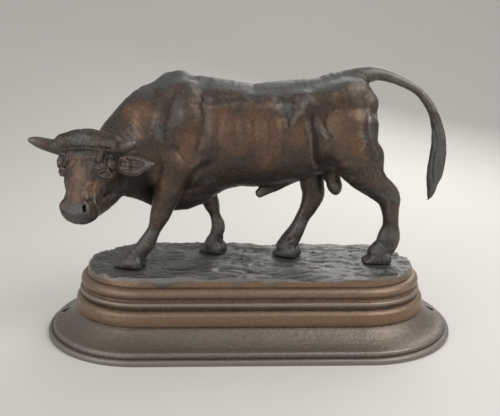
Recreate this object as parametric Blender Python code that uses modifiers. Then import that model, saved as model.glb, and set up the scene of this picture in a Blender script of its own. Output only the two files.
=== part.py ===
"""A cast bronze bull striding with its head lowered, on its own moulded stadium-shaped base.

Metres, +Z up. The origin is the centre of the base's underside; the bull walks towards -X.
The base is one swept profile closed by a bumpy ground. The bull is blocked in with swept and
egg-shaped muscles, fused, worked to one smooth surface and thinned to a faceted solid.
"""
import math

import bmesh
import bpy
import numpy as np
from mathutils import Matrix, Vector

# Driving dimensions of the base
BASE_LENGTH = 0.340
BASE_DEPTH = 0.168
RIM_HEIGHT = 0.0043
FLANGE_EDGE_HEIGHT = 0.0083
FLANGE_TOP_HEIGHT = 0.0191
WALL_TOP_HEIGHT = 0.0320
LEDGE_HEIGHT = 0.0489
GROUND_HEIGHT = 0.0555
FLANGE_WIDTH = 0.0233
WALL_INSET = 0.0265
LEDGE_INSET = 0.0314
GROUND_INSET = 0.0345
SCREW_HOLE_DIAMETER = 0.0075
SCREW_HOLE_MARGIN = 0.0120

# Driving dimensions of the bull, and the gap kept under its hooves
BULL_HEIGHT = 0.1520
HOOF_GAP = 0.0003

# Fineness of the two solids
ARC_STEPS = 18
STRAIGHT_STEPS = 10
GROUND_RINGS = 6
BULL_TRIANGLES = 6000

# The bull is drawn in units of which WITHERS make its height at the withers, and so is the grain it is worked at
WITHERS = 152.0
UNIT = BULL_HEIGHT / WITHERS
CLAY_GRAIN = 1.8

COLLECTION = "bull_sculpture"
CUTTERS = "cutters"


def clear_scene():
    """Remove every object that the file starts with."""
    for old in list(bpy.data.objects):
        bpy.data.objects.remove(old, do_unlink=True)


def new_collection(name):
    """A collection linked into the scene."""
    group = bpy.data.collections.new(name)
    bpy.context.scene.collection.children.link(group)
    return group


def bronze(name, colour, roughness, metallic):
    """A plain Principled finish."""
    material = bpy.data.materials.new(name)
    material.use_nodes = True
    shader = material.node_tree.nodes["Principled BSDF"]
    shader.inputs["Base Color"].default_value = (*colour, 1.0)
    shader.inputs["Roughness"].default_value = roughness
    shader.inputs["Metallic"].default_value = metallic
    return material


# Base


def stadium(inset):
    """One ring of x, y points: the base's outline moved inwards by inset."""
    radius = BASE_DEPTH / 2 - inset
    reach = (BASE_LENGTH - BASE_DEPTH) / 2
    ring = []
    for end in (1, -1):
        for step in range(ARC_STEPS):
            angle = math.pi * (step / ARC_STEPS - 0.5)
            ring.append((end * (reach + radius * math.cos(angle)), end * radius * math.sin(angle)))
        for step in range(STRAIGHT_STEPS):
            x = reach - 2 * reach * step / STRAIGHT_STEPS
            ring.append((end * x, end * radius))
    return ring


def base_profile():
    """Inset and height of every moulding, from the underside up to the edge of the ground."""
    mm = 0.001
    rise = FLANGE_TOP_HEIGHT - FLANGE_EDGE_HEIGHT
    run = FLANGE_WIDTH - 7.0 * mm
    rim = [(0.0, 0.0), (0.0, 0.55 * RIM_HEIGHT), (0.5 * mm, 0.86 * RIM_HEIGHT), (1.7 * mm, RIM_HEIGHT)]
    step = [(3.4 * mm, RIM_HEIGHT + 0.2 * mm), (4.0 * mm, FLANGE_EDGE_HEIGHT - 2.2 * mm),
            (4.8 * mm, FLANGE_EDGE_HEIGHT - 0.6 * mm), (6.4 * mm, FLANGE_EDGE_HEIGHT)]
    flange = [(7.0 * mm + run * t, FLANGE_EDGE_HEIGHT + rise * (0.45 * t + 0.55 * t ** 2.4))
              for t in (0.2, 0.4, 0.6, 0.8, 0.97)]
    low, high = FLANGE_TOP_HEIGHT, WALL_TOP_HEIGHT
    wall = [(FLANGE_WIDTH + 1.0 * mm, low + 0.4 * mm), (FLANGE_WIDTH + 1.0 * mm, low + 1.1 * mm),
            (FLANGE_WIDTH + 0.2 * mm, low + 1.8 * mm), (FLANGE_WIDTH, low + 0.45 * (high - low)),
            (FLANGE_WIDTH + 0.7 * mm, high - 2.2 * mm), (WALL_INSET - 1.2 * mm, high - 0.6 * mm),
            (WALL_INSET, high)]
    fillet = [(WALL_INSET + 1.5 * mm, high + 0.8 * mm), (WALL_INSET + 1.4 * mm, high + 2.6 * mm),
              (WALL_INSET + 0.4 * mm, high + 3.6 * mm), (WALL_INSET + 0.2 * mm, high + 5.2 * mm),
              (WALL_INSET + 0.8 * mm, high + 6.4 * mm)]
    top = LEDGE_HEIGHT
    torus = [(LEDGE_INSET - 2.2 * mm, top - 9.8 * mm), (LEDGE_INSET - 1.8 * mm, top - 8.0 * mm),
             (LEDGE_INSET - 3.0 * mm, top - 6.2 * mm), (LEDGE_INSET - 3.5 * mm, top - 4.3 * mm),
             (LEDGE_INSET - 2.9 * mm, top - 2.2 * mm), (LEDGE_INSET - 1.3 * mm, top - 0.5 * mm),
             (LEDGE_INSET, top)]
    slab = [(GROUND_INSET - 1.4 * mm, top + 0.4 * mm), (GROUND_INSET - 1.2 * mm, top + 2.4 * mm),
            (GROUND_INSET - 0.6 * mm, GROUND_HEIGHT - 1.6 * mm)]
    return rim + step + flange + wall + fillet + torus + slab


def hoof_marks():
    """Heel and toe of each hoof on the ground, in the bull's units, from the front pair back."""
    return {
        "near_fore": ((-88.0, -24.2), (-110.7, -14.0)),
        "far_fore": ((-23.9, 16.4), (-42.0, 28.5)),
        "near_hind": ((117.0, -9.0), (94.0, -7.5)),
        "far_hind": ((40.5, 4.9), (22.1, 17.4)),
    }


def ground_height(x, y):
    """Height of the earth at x, y: trodden ridges, two low mounds, and a level bed under each hoof."""
    mm = 0.001
    u, v = x / mm, y / mm
    ridges = 0.9 * math.sin(0.21 * v + 1.3 * math.sin(0.045 * u) + 0.02 * u)
    ripples = 0.6 * math.sin(0.16 * u - 0.33 * v + 1.1 * math.sin(0.12 * v))
    lumps = 0.7 * math.sin(0.085 * u + 0.9) * math.cos(0.10 * v - 0.4)
    mounds = (1.6 * math.exp(-((u + 32.0) ** 2 + (v + 12.0) ** 2) / 110.0)
              + 1.8 * math.exp(-((u - 68.0) ** 2 + (v - 2.0) ** 2) / 160.0))
    level = 0.0
    for heel, toe in hoof_marks().values():
        cx, cy = (heel[0] + toe[0]) / 2 * UNIT, (heel[1] + toe[1]) / 2 * UNIT
        away = math.hypot(x - cx, y - cy) / (18.0 * UNIT)
        level = max(level, math.exp(-max(0.0, away - 0.75) ** 2 * 14.0))
    return GROUND_HEIGHT + (1 - level) * mm * (ridges + ripples + lumps + mounds + 0.3)


def edge_wander(index):
    """The ground's edge runs unevenly over the wall that carries it."""
    return 0.0006 * math.sin(0.61 * index) + 0.0005 * math.sin(1.37 * index + 1.0)


def ring_of_vertices(bm, points, height):
    """Vertices of one ring; height is a number or a function of x and y."""
    return [bm.verts.new((x, y, height(x, y) if callable(height) else height)) for x, y in points]


def bridge(bm, lower, upper):
    """Quads between two rings with the same count."""
    for k in range(len(lower)):
        bm.faces.new((lower[k - 1], lower[k], upper[k], upper[k - 1]))


def make_base(collection, material):
    """The stadium base: swept mouldings, ground on top, flat underside, two screw holes."""
    bm = bmesh.new()
    rings = [ring_of_vertices(bm, stadium(inset), height) for inset, height in base_profile()]
    half_width = BASE_DEPTH / 2 - GROUND_INSET
    for ring_number in range(GROUND_RINGS + 1):
        share = ring_number / (GROUND_RINGS + 1)
        outline = stadium(GROUND_INSET + half_width * share)
        if ring_number == 0:
            outline = [stadium(GROUND_INSET + edge_wander(k))[k] for k in range(len(outline))]
        rings.append(ring_of_vertices(bm, outline, ground_height))
    spine = stadium(BASE_DEPTH / 2)
    rings.append(ring_of_vertices(bm, spine, ground_height))
    for lower, upper in zip(rings, rings[1:]):
        bridge(bm, lower, upper)
    bm.faces.new(rings[0][::-1])
    bmesh.ops.remove_doubles(bm, verts=bm.verts, dist=0.00002)
    bmesh.ops.triangulate(bm, faces=[face for face in bm.faces if len(face.verts) == 4])
    bmesh.ops.recalc_face_normals(bm, faces=bm.faces)
    mesh = bpy.data.meshes.new("base")
    bm.to_mesh(mesh)
    bm.free()
    mesh.shade_smooth()
    mesh.set_sharp_from_angle(angle=math.radians(35))
    base = bpy.data.objects.new("base", mesh)
    base.data.materials.append(material)
    collection.objects.link(base)
    return base


def drill_base(base, cutters):
    """Two screw holes stand through the flange, one at each end."""
    place = BASE_LENGTH / 2 - SCREW_HOLE_MARGIN
    for number, x in enumerate((-place, place)):
        bm = bmesh.new()
        bmesh.ops.create_cone(bm, cap_ends=True, segments=20, radius1=SCREW_HOLE_DIAMETER / 2,
                              radius2=SCREW_HOLE_DIAMETER / 2, depth=4 * FLANGE_TOP_HEIGHT)
        mesh = bpy.data.meshes.new(f"screw_hole_{number}")
        bm.to_mesh(mesh)
        bm.free()
        drill = bpy.data.objects.new(mesh.name, mesh)
        drill.location = (x, 0.0, 0.0)
        drill.hide_render = True
        drill.display_type = "WIRE"
        cutters.objects.link(drill)
        cut = base.modifiers.new(drill.name, "BOOLEAN")
        cut.operation = "DIFFERENCE"
        cut.solver = "EXACT"
        cut.object = drill


# Sculpting tools, in the bull's units


def smooth_path(stations, steps):
    """A curve through the stations with every column eased alike."""
    rows = np.array(stations, float)
    rows = np.vstack([2 * rows[0] - rows[1], rows, 2 * rows[-1] - rows[-2]])
    path = []
    for i in range(1, len(rows) - 2):
        a, b, c, d = rows[i - 1], rows[i], rows[i + 1], rows[i + 2]
        for t in np.arange(steps) / steps:
            path.append(0.5 * (2 * b + (c - a) * t + (2 * a - 5 * b + 4 * c - d) * t ** 2
                               + (3 * b - a - 3 * c + d) * t ** 3))
    path.append(rows[-2])
    return np.array(path)


def blend_min(a, b, reach):
    """The smaller of two distances, with a soft fillet where they are within reach of each other."""
    near = np.maximum(reach - np.abs(a - b), 0) / reach
    return np.minimum(a, b) - near * near * reach / 4


def add_egg(bm, centre, radii, axes):
    """An egg-shaped lump on the given axes."""
    turn = Matrix.Identity(4)
    for column in range(3):
        for row in range(3):
            turn[row][column] = axes[column][row] * radii[column] * 0.97
    turn.translation = Vector(centre)
    bmesh.ops.create_icosphere(bm, subdivisions=3, radius=1.0, matrix=turn)


class Sweep:
    """Oval sections carried along a path; a station is x, y, z, half size upwards, half size across."""

    def __init__(self, stations, blend, up=(0, 0, 1), steps=4, cut=False):
        self.path = smooth_path(stations, steps)
        self.blend = blend
        self.cut = cut
        points = self.path[:, :3]
        tangent = np.gradient(points, axis=0)
        self.tangent = tangent / np.linalg.norm(tangent, axis=1)[:, None]
        across = np.cross(self.tangent, np.array(up, float))
        self.across = across / np.linalg.norm(across, axis=1)[:, None]
        self.upward = np.cross(self.across, self.tangent)
        reach = self.path[:, 3:5].max() + blend + 1.0
        self.low = points.min(0) - reach
        self.high = points.max(0) + reach

    def distance(self, points):
        """Distance of each point to the surface, exact enough within a blend of it."""
        best = np.full(len(points), 1e3)
        for i in range(len(self.path) - 1):
            a, b = self.path[i], self.path[i + 1]
            reach = max(a[3:5].max(), b[3:5].max()) + self.blend + 2.0
            low = np.minimum(a[:3], b[:3]) - reach
            high = np.maximum(a[:3], b[:3]) + reach
            near = np.flatnonzero(((points > low) & (points < high)).all(1))
            if not len(near):
                continue
            axis = b[:3] - a[:3]
            offset = points[near] - a[:3]
            share = np.clip(offset @ axis / (axis @ axis), 0, 1)[:, None]
            offset = offset - share * axis
            up = self.upward[i] * (1 - share) + self.upward[i + 1] * share
            side = self.across[i] * (1 - share) + self.across[i + 1] * share
            size = np.maximum(a[3:5] * (1 - share) + b[3:5] * share, 0.05)
            local = np.stack([(offset * up).sum(1), (offset * side).sum(1), offset @ self.tangent[i]], 1)
            radii = np.column_stack([size, size.min(1)])
            whole = np.linalg.norm(local / radii, axis=1)
            slope = np.linalg.norm(local / radii ** 2, axis=1) + 1e-9
            best[near] = np.minimum(best[near], whole * (whole - 1) / slope)
        return best

    def block_in(self, bm, sides=14):
        """A rough closed tube with round ends."""
        rings = []
        for row, up, side in zip(self.path, self.upward, self.across):
            angles = [2 * math.pi * k / sides for k in range(sides)]
            rings.append([bm.verts.new(row[:3] + up * row[3] * math.cos(t) + side * row[4] * math.sin(t))
                          for t in angles])
        for one, two in zip(rings, rings[1:]):
            for k in range(sides):
                bm.faces.new((one[k], one[k - 1], two[k - 1], two[k]))
        bm.faces.new(rings[0])
        bm.faces.new(rings[-1][::-1])
        for end in (0, -1):
            row = self.path[end]
            axes = (self.upward[end], self.across[end], self.tangent[end])
            add_egg(bm, row[:3], (row[3], row[4], min(row[3:5])), axes)


class Egg:
    """An egg-shaped muscle, or a hollow if cut."""

    def __init__(self, centre, radii, blend, lean=0.0, axes=None, cut=False):
        self.centre = np.array(centre, float)
        self.radii = np.array(radii, float)
        self.blend = blend
        self.cut = cut
        if axes is None:
            c, s = math.cos(math.radians(lean)), math.sin(math.radians(lean))
            axes = ((c, 0, -s), (0, 1, 0), (s, 0, c))
        self.axes = np.array(axes, float)
        reach = self.radii.max() + blend + 1.0
        self.low = self.centre - reach
        self.high = self.centre + reach

    def distance(self, points):
        """Distance of each point to the surface."""
        local = (points - self.centre) @ self.axes.T
        whole = np.linalg.norm(local / self.radii, axis=1)
        slope = np.linalg.norm(local / self.radii ** 2, axis=1) + 1e-9
        return whole * (whole - 1) / slope

    def block_in(self, bm):
        """A rough lump of the same size."""
        add_egg(bm, self.centre, self.radii, self.axes)


class Stroke:
    """A groove drawn on the surface with a round tool; a negative depth raises a ridge.

    With a side, the stroke is drawn square on to that flank and its y is not used.
    """

    def __init__(self, stations, width, depth, side=0, steps=4):
        self.path = smooth_path(stations, steps)
        self.width = width
        self.depth = depth
        self.side = side
        self.low = self.path.min(0) - 3 * width
        self.high = self.path.max(0) + 3 * width
        if side:
            self.low[1], self.high[1] = sorted((side * 7.0, side * 60.0))

    def depth_at(self, points):
        """How far the surface moves inwards at each point."""
        flat = np.array((1, 0 if self.side else 1, 1))
        best = np.full(len(points), 1e3)
        fade = np.ones(len(points))
        count = len(self.path) - 1
        for i in range(count):
            a, b = self.path[i] * flat, self.path[i + 1] * flat
            offset = points * flat - a
            axis = b - a
            share = np.clip(offset @ axis / (axis @ axis), 0, 1)
            away = np.linalg.norm(offset - share[:, None] * axis, axis=1)
            closer = away < best
            best[closer] = away[closer]
            place = (i + share[closer]) / count
            fade[closer] = np.minimum(1, 4 * np.minimum(place, 1 - place) + 0.3)
        return self.depth * fade * np.exp(-(best / self.width) ** 2)


def field(figure, points):
    """Signed distance of each point to the finished surface of a figure of forms and strokes."""
    value = np.full(len(points), 1e3)
    for form in figure["forms"]:
        near = np.flatnonzero(((points > form.low) & (points < form.high)).all(1))
        if not len(near):
            continue
        distance = form.distance(points[near])
        if form.cut:
            value[near] = -blend_min(-value[near], distance, form.blend)
        else:
            value[near] = blend_min(value[near], distance, form.blend)
    for stroke in figure["strokes"]:
        near = np.flatnonzero(((points > stroke.low) & (points < stroke.high)).all(1))
        if len(near):
            value[near] += stroke.depth_at(points[near])
    underside = -points[:, 2]
    return -blend_min(-value, -underside, 0.6)


def settle(mesh, figure, rounds=7, relaxed=3):
    """Move every vertex onto the figure's surface, evening the mesh out in the first rounds."""
    count = len(mesh.vertices)
    points = np.empty(count * 3)
    mesh.vertices.foreach_get("co", points)
    points = points.reshape(-1, 3)
    edges = np.empty(len(mesh.edges) * 2, int)
    mesh.edges.foreach_get("vertices", edges)
    one, two = edges.reshape(-1, 2).T
    valence = np.bincount(edges, minlength=count)
    normals = np.empty(count * 3)
    for step in range(rounds):
        mesh.vertex_normals.foreach_get("vector", normals)
        depth = np.clip(field(figure, points), -2.0, 2.0)
        points = points - normals.reshape(-1, 3) * depth[:, None] * 0.8
        if step < relaxed:
            for c in range(3):
                column = points[:, c].copy()
                total = np.bincount(one, column[two], count) + np.bincount(two, column[one], count)
                points[:, c] += 0.6 * (total / valence - column)
        mesh.vertices.foreach_set("co", points.ravel())
        mesh.update()


def fuse(figure, name, grain):
    """Block every form in, fuse the blocks to one skin and settle it."""
    bm = bmesh.new()
    for form in figure["forms"]:
        if not form.cut:
            form.block_in(bm)
    bmesh.ops.recalc_face_normals(bm, faces=bm.faces)
    mesh = bpy.data.meshes.new(name)
    bm.to_mesh(mesh)
    bm.free()
    clay = bpy.data.objects.new(name, mesh)
    bpy.context.scene.collection.objects.link(clay)
    remesh = clay.modifiers.new("fuse", "REMESH")
    remesh.mode = "VOXEL"
    remesh.voxel_size = grain
    remesh.adaptivity = 0.0
    depsgraph = bpy.context.evaluated_depsgraph_get()
    skin = bpy.data.meshes.new_from_object(clay.evaluated_get(depsgraph))
    bpy.data.objects.remove(clay, do_unlink=True)
    settle(skin, figure)
    return skin


# The bull, in its own units: x along the body, y across, z above the ground


def trunk():
    """Barrel, back, shoulders, hips and belly."""
    barrel = [(-74, 0, 99.5, 41, 19), (-58, 0, 100, 55, 25), (-38, 0, 104.2, 47.5, 29),
              (-12, 0, 104.8, 42.3, 31), (0, 0, 103.8, 41.5, 31), (15, 0, 105.6, 41.7, 30.5),
              (40, 0, 109.8, 40.2, 27), (62, 0, 115.2, 37.6, 24), (75, 0, 121.2, 36.4, 20),
              (84, 0, 124, 33, 16)]
    forms = [Sweep(barrel, 4)]
    for side in (-1, 1):
        back = [(-66, side * 6, 139, 8, 7), (-40, side * 12, 132, 11, 11), (0, side * 16, 127, 10, 11),
                (40, side * 16, 130, 10, 11), (66, side * 14, 137, 11, 12), (82, side * 10, 142, 9, 10)]
        forms += [
            Sweep(back, 6),
            Egg((-62, side * 17, 112), (17, 12, 38), 7, 16),
            Egg((-53, side * 20, 116), (8, 8, 15), 6, 8),
            Egg((-72, side * 20, 86), (15, 10, 19), 6, 20),
            Egg((-52, side * 20, 90), (13, 11, 22), 6, -12),
            Egg((76, side * 14, 116), (17, 13, 32), 6, -4),
            Egg((90, side * 12.5, 131), (8.5, 7, 10), 6),
            Egg((39, side * 20, 131), (6, 6, 8), 6),
            Egg((62, side * 17, 106), (12, 12, 20), 6, 20),
        ]
    return forms


def neck():
    """Neck turned to the near side, throat, dewlap and brisket."""
    crest = [(-60, 0, 106, 42, 25), (-77, -6, 103.5, 41, 25), (-91, -17, 98, 32.5, 22.5),
             (-102, -28, 91.5, 25, 20), (-107, -36, 87, 19.5, 17)]
    throat = [(-102, -36, 71.5, 9, 8), (-95, -24, 67.5, 10, 8), (-86, -9, 64, 13, 9), (-72, 0, 58, 15, 12),
              (-58, 0, 58, 15, 14), (-44, 0, 66, 12, 14)]
    return [Sweep(crest, 6), Sweep(throat, 6)]


def legs():
    """Four legs, each one sweep from the body to the pastern."""
    near_fore = [(-60, -22, 86, 15, 11), (-66, -22, 66, 12.5, 9.5), (-71.3, -22, 50, 9, 7.5),
                 (-74, -22, 42, 7.8, 6.8), (-78.5, -21.5, 31.5, 5.4, 5.2), (-84.5, -21, 20, 6.6, 6.5),
                 (-90, -20.5, 13, 6.8, 6.5), (-95, -19.5, 7, 8, 8)]
    far_fore = [(-46, 22, 86, 15, 11), (-41, 21, 66, 11, 9.5), (-36.5, 20, 50, 7.8, 7.5),
                (-34, 20, 43, 6.8, 6.8), (-31, 20, 33, 4.6, 5), (-28.2, 20, 22.5, 6.2, 6.3),
                (-31, 20, 14, 5.4, 6.2), (-33, 20.5, 7, 7.6, 8)]
    near_hind = [(76, -18, 116, 22, 12), (77, -20, 96, 21, 13), (89, -19, 77, 15, 10),
                 (102, -16, 65, 11.2, 7.5), (111, -14, 56, 9.5, 6.5), (113.5, -13, 44, 7.1, 5.5),
                 (115, -11, 33, 6.8, 5.5), (114.6, -10, 22.5, 9.4, 7), (112.5, -9, 14, 9.5, 6.5),
                 (106, -8.5, 7, 9, 8)]
    far_hind = [(66, 18, 116, 22, 12), (57, 19, 96, 20, 13), (52, 18, 77, 13, 10),
                (52, 16, 64, 10.5, 8), (53.7, 15, 53, 9.6, 7), (49.8, 14, 42, 7.4, 5.8),
                (44.6, 14, 32, 6.1, 5.5), (40.3, 13.5, 22.5, 6.9, 7), (35, 12.5, 14, 8, 6.5),
                (30.5, 11, 7, 8.5, 8)]
    buttock = Egg((95.5, -16, 89), (9, 8, 12), 6)
    return [Sweep(leg, 4, up=(1, 0, 0.3)) for leg in (near_fore, far_fore, near_hind, far_hind)] + [buttock]


def hooves():
    """Cloven hooves: two claws side by side from heel to toe."""
    forms = []
    for heel, toe in hoof_marks().values():
        heel, toe = np.array((*heel, 0.0)), np.array((*toe, 0.0))
        ahead = (toe - heel) / np.linalg.norm(toe - heel)
        aside = np.array((-ahead[1], ahead[0], 0.0))
        for side in (-1, 1):
            back = heel + ahead * 4 + aside * side * 4.0
            front = toe - ahead * 4 + aside * side * 4.0
            middle = (back + front) / 2
            claw = [(*(back + (0, 0, 3.0)), 6.5, 4.6), (*(middle + (0, 0, 1.8)), 7.0, 5.2),
                    (*(front + (0, 0, -0.5)), 4.6, 4.4)]
            forms.append(Sweep(claw, 1.2))
    return forms


def tail():
    """The tail lifts off the rump in an arch and hangs to its tuft."""
    path = [(77, 0, 149, 9, 9), (89, 0, 153.4, 7.2, 7.5), (98, 0, 154.4, 5.5, 5.8), (107, 0, 153, 4.7, 4.8),
            (119.6, 0, 148.7, 4.1, 4.2), (132.2, 0, 142, 3.4, 3.6), (141.4, 0, 132.8, 3.6, 3.6),
            (147.1, 0, 123.7, 3.9, 3.9), (151.3, 0, 113, 4.9, 4.4), (153.7, 0, 100.8, 6.0, 5.2),
            (153.8, 0, 89, 6.9, 5.9), (152.7, 0, 76, 6.8, 5.9), (151.4, 0, 66.1, 5.0, 4.5),
            (150.2, 0, 57, 3.2, 3.0), (149.0, 0, 52.5, 1.3, 1.3)]
    return [Sweep(path, 3, up=(1, 0, 1))]


def underparts():
    """Sheath and scrotum."""
    forms = [Sweep([(36, 0, 75.5, 8.5, 8), (20, 0, 65, 6.2, 5), (6, 0, 56.4, 3.8, 3)], 3),
             Egg((66, 2, 76), (8, 8, 12), 4)]
    return forms + [Egg((69, 3 + side * 3.5, 64), (6, 5, 9), 2.5, -10) for side in (-1, 1)]


HEAD_ORIGIN = np.array((-117.3, -46.3, 103.1))
HEAD_SCALE = 1.0
HEAD_TURN = 17.7
HEAD_DROP = 54.5
HEAD_TILT = 0.6


def head_axes():
    """Unit vectors down the nose, to the bull's left and out of its forehead."""
    turn, drop, tilt = (math.radians(angle) for angle in (HEAD_TURN, HEAD_DROP, HEAD_TILT))
    ahead = np.array((-math.sin(turn), -math.cos(turn), 0.0))
    up = np.array((0.0, 0.0, 1.0))
    nose = ahead * math.cos(drop) - up * math.sin(drop)
    left = np.array((math.cos(turn), -math.sin(turn), 0.0))
    brow = ahead * math.sin(drop) + up * math.cos(drop)
    rolled = []
    for axis in (nose, left, brow):
        rolled.append(axis * math.cos(tilt) + np.cross(ahead, axis) * math.sin(tilt)
                      + ahead * (ahead @ axis) * (1 - math.cos(tilt)))
    return np.array(rolled)


def on_head(rows):
    """Stations given down the nose, to the left and out of the forehead, put in the bull's frame."""
    axes = head_axes()
    placed = []
    for row in rows:
        point = HEAD_ORIGIN + HEAD_SCALE * (np.array(row[:3]) @ axes)
        placed.append((*point, *(HEAD_SCALE * size for size in row[3:])))
    return placed


def head_egg(centre, radii, blend, cut=False):
    """An egg on the head's own axes."""
    return Egg(on_head([centre])[0], [HEAD_SCALE * size for size in radii], blend, axes=head_axes(), cut=cut)


def skull():
    """Skull, jaw, cheeks and the hair on poll and forehead."""
    brow = head_axes()[2]
    face = [(2, 0, -6, 13, 16), (12, 0, -6, 15, 20.3), (22, 0, -6, 14.5, 19.6), (31, 0, -6, 12, 15.3),
            (39, 0, -5.5, 10.5, 12), (46, 0, -6, 9.8, 13), (51.5, 0, -7, 9.8, 14.3)]
    jaw = [(12, 3, -27, 10.5, 11.5), (23, 2, -31, 10.5, 11.5), (33, 0, -27.5, 10, 10.5),
           (41, 0, -21.5, 8.5, 9), (50, -0.5, -15, 5.3, 9)]
    poll = [(4.7, -20, 5.7, 7.2, 7.2), (3.4, -10, 7.3, 7.3, 8), (2.4, 0, 7.8, 7.6, 8),
            (3.4, 10, 6.6, 6.9, 8), (4.7, 20, 5.6, 7.2, 7.2)]
    fringe = [(13, -11, 6.0, 3.8, 6), (15, 0, 7.5, 4.2, 6), (13, 11, 6.0, 3.8, 6)]
    forms = [Sweep(on_head(face), 3, up=brow), Sweep(on_head(jaw), 4, up=brow)]
    forms += [head_egg((20, side * 12, -15), (13, 6.5, 11), 3) for side in (-1, 1)]
    return forms + [Sweep(on_head(poll), 3, up=brow), Sweep(on_head(fringe), 2, up=brow)]


def features(side):
    """Brow, eye, cheek crest and nostril of one side of the face."""
    brow = head_axes()[2]
    ridge = [(13, side * 18.4, 1.6, 3.6, 4), (18, side * 19.8, 2.2, 3.8, 3.6),
             (23.5, side * 19.6, 1.6, 2.2, 2.2)]
    upper_lid = [(23.5, side * 16.4, 2.8, 0.9, 0.9), (25.5, side * 18.4, 2.0, 1.1, 1.1),
                 (30, side * 17, -0.4, 0.7, 0.7)]
    lower_lid = [(25, side * 18, -3.4, 0.7, 0.7), (28, side * 17.8, -3.0, 0.9, 0.9),
                 (30.5, side * 16.4, -1.4, 0.6, 0.6)]
    crest = [(31, side * 13, -2.5, 2, 2), (37, side * 11, -4, 2, 2), (43, side * 10, -5.5, 1.2, 1.2)]
    return [
        Sweep(on_head(ridge), 2.5, up=brow),
        head_egg((26.5, side * 19.2, -0.4), (4.0, 3.2, 3.3), 1.6, cut=True),
        head_egg((27, side * 16.6, -0.7), (3.5, 3.0, 3.0), 0.5),
        Sweep(on_head(upper_lid), 1.2, up=brow),
        Sweep(on_head(lower_lid), 1.2, up=brow),
        Sweep(on_head(crest), 4, up=brow),
        head_egg((51, side * 8.6, -1.5), (5.4, 4.2, 4.6), 2.5),
        head_egg((53.5, side * 8.4, 0.6), (3.6, 1.9, 2.8), 1.0, cut=True),
    ]


def horn_and_ear(side):
    """A horn that sweeps out and forward, and a broad ear below it."""
    brow, nose = head_axes()[2], head_axes()[0]
    horn = [(7, side * 17, 2, 6.0, 6.0), (8, side * 24, 5, 5.6, 5.6), (8.6, side * 32, 10, 4.6, 4.6),
            (8.6, side * 37.5, 14.0, 3.4, 3.4), (8.8, side * 40, 16, 2.2, 2.2)]
    ear = [(11, side * 17, -8, 5, 3.5), (11, side * 22, -11, 8.5, 3), (9.5, side * 28, -15, 9, 2.8),
           (6.5, side * 34, -19, 5.5, 2.0), (4.5, side * 39, -22.5, 1.6, 1.2)]
    hollow = [(13, side * 23, -8.0, 5.2, 1.6), (11.5, side * 28, -11.4, 5.8, 1.6), (8, side * 34, -16.0, 2.6, 0.8)]
    return [
        Sweep(on_head(horn), 1.5, up=brow),
        Sweep(on_head(ear), 1.5, up=nose),
        Sweep(on_head(hollow), 0.8, up=nose, cut=True),
    ]


def strokes():
    """Creases and ridges that show from a step away."""
    marks = []
    for side in (-1, 1):
        flank = [
            ([(-37, 0, 146), (-40, 0, 130), (-39, 0, 116), (-44, 0, 100), (-53, 0, 90)], 3.6, 1.6),
            ([(-52, 0, 148), (-61, 0, 133), (-68, 0, 117), (-73, 0, 101)], 3.0, 1.2),
            ([(-58, 0, 97), (-54, 0, 88)], 1.8, 1.6),
            ([(-36, 0, 82), (-45, 0, 75), (-56, 0, 64)], 2.4, 1.8),
            ([(-88, 0, 128), (-87, 0, 110), (-85, 0, 92), (-80, 0, 76)], 3.4, 1.5),
            ([(-39, 0, 131), (-30, 0, 128), (-20, 0, 130), (4, 0, 131), (18, 0, 131)], 2.2, 0.9),
            ([(16, 0, 131), (27, 0, 130), (32, 0, 124), (28, 0, 116)], 4.6, 2.6),
            ([(41, 0, 124), (40, 0, 113), (45, 0, 101), (46, 0, 88), (50, 0, 78)], 2.4, 1.6),
            ([(36, 0, 118), (38, 0, 104), (41, 0, 92)], 2.2, -0.8),
            ([(52, 0, 132), (49, 0, 118), (54, 0, 104)], 2.6, -1.1),
            ([(46, 0, 133), (62, 0, 130), (78, 0, 127), (92, 0, 128)], 2.2, 0.9),
            ([(90, 0, 122), (91, 0, 106), (94, 0, 90)], 2.4, 1.1),
            ([(82, 0, 94), (89, 0, 103)], 1.6, 0.7),
            ([(57, 0, 92), (68, 0, 80), (82, 0, 76)], 2.6, 1.0),
            ([(110, 0, 71), (104, 0, 78), (100, 0, 88)], 2.0, 1.2),
        ]
        for x, lean in ((-26, -2), (-15, 1), (-3, 3), (9, 3), (20, 4)):
            flank.append(([(x, 0, 122), (x + lean, 0, 104), (x, 0, 88)], 2.8, 0.8))
        marks += [Stroke(path, width, depth, side=side) for path, width, depth in flank]
        mouth = [(58, side * 4, -13), (55, side * 9.5, -12.5), (49, side * 13, -12), (41, side * 12, -13)]
        marks.append(Stroke(np.array(on_head(mouth)), 1.2, 1.3))
    lock_count = 9
    for number in range(lock_count):
        across = 18.0 * (2 * number / (lock_count - 1) - 1)
        lock = [(-3, across * 0.8, 14), (5, across, 14), (10, across * 1.05, 11)]
        marks.append(Stroke(np.array(on_head(lock)), 1.0, 0.8))
    return marks


def bull_figure():
    """Every form and stroke, in the order in which they are laid on."""
    forms = trunk() + neck() + legs() + hooves() + tail() + underparts() + skull()
    for side in (-1, 1):
        forms += features(side) + horn_and_ear(side)
    return {"forms": forms, "strokes": strokes()}


def make_bull(collection, material):
    """The bull as one faceted casting, standing just clear of the ground."""
    skin = fuse(bull_figure(), "bull", CLAY_GRAIN)
    skin.transform(Matrix.Translation((0, 0, GROUND_HEIGHT + HOOF_GAP)) @ Matrix.Scale(UNIT, 4))
    skin.shade_smooth()
    bull = bpy.data.objects.new("bull", skin)
    bull.data.materials.append(material)
    collection.objects.link(bull)
    thin = bull.modifiers.new("thin", "DECIMATE")
    thin.ratio = BULL_TRIANGLES / (2 * len(skin.polygons))
    thin.use_collapse_triangulate = True
    return bull


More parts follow.
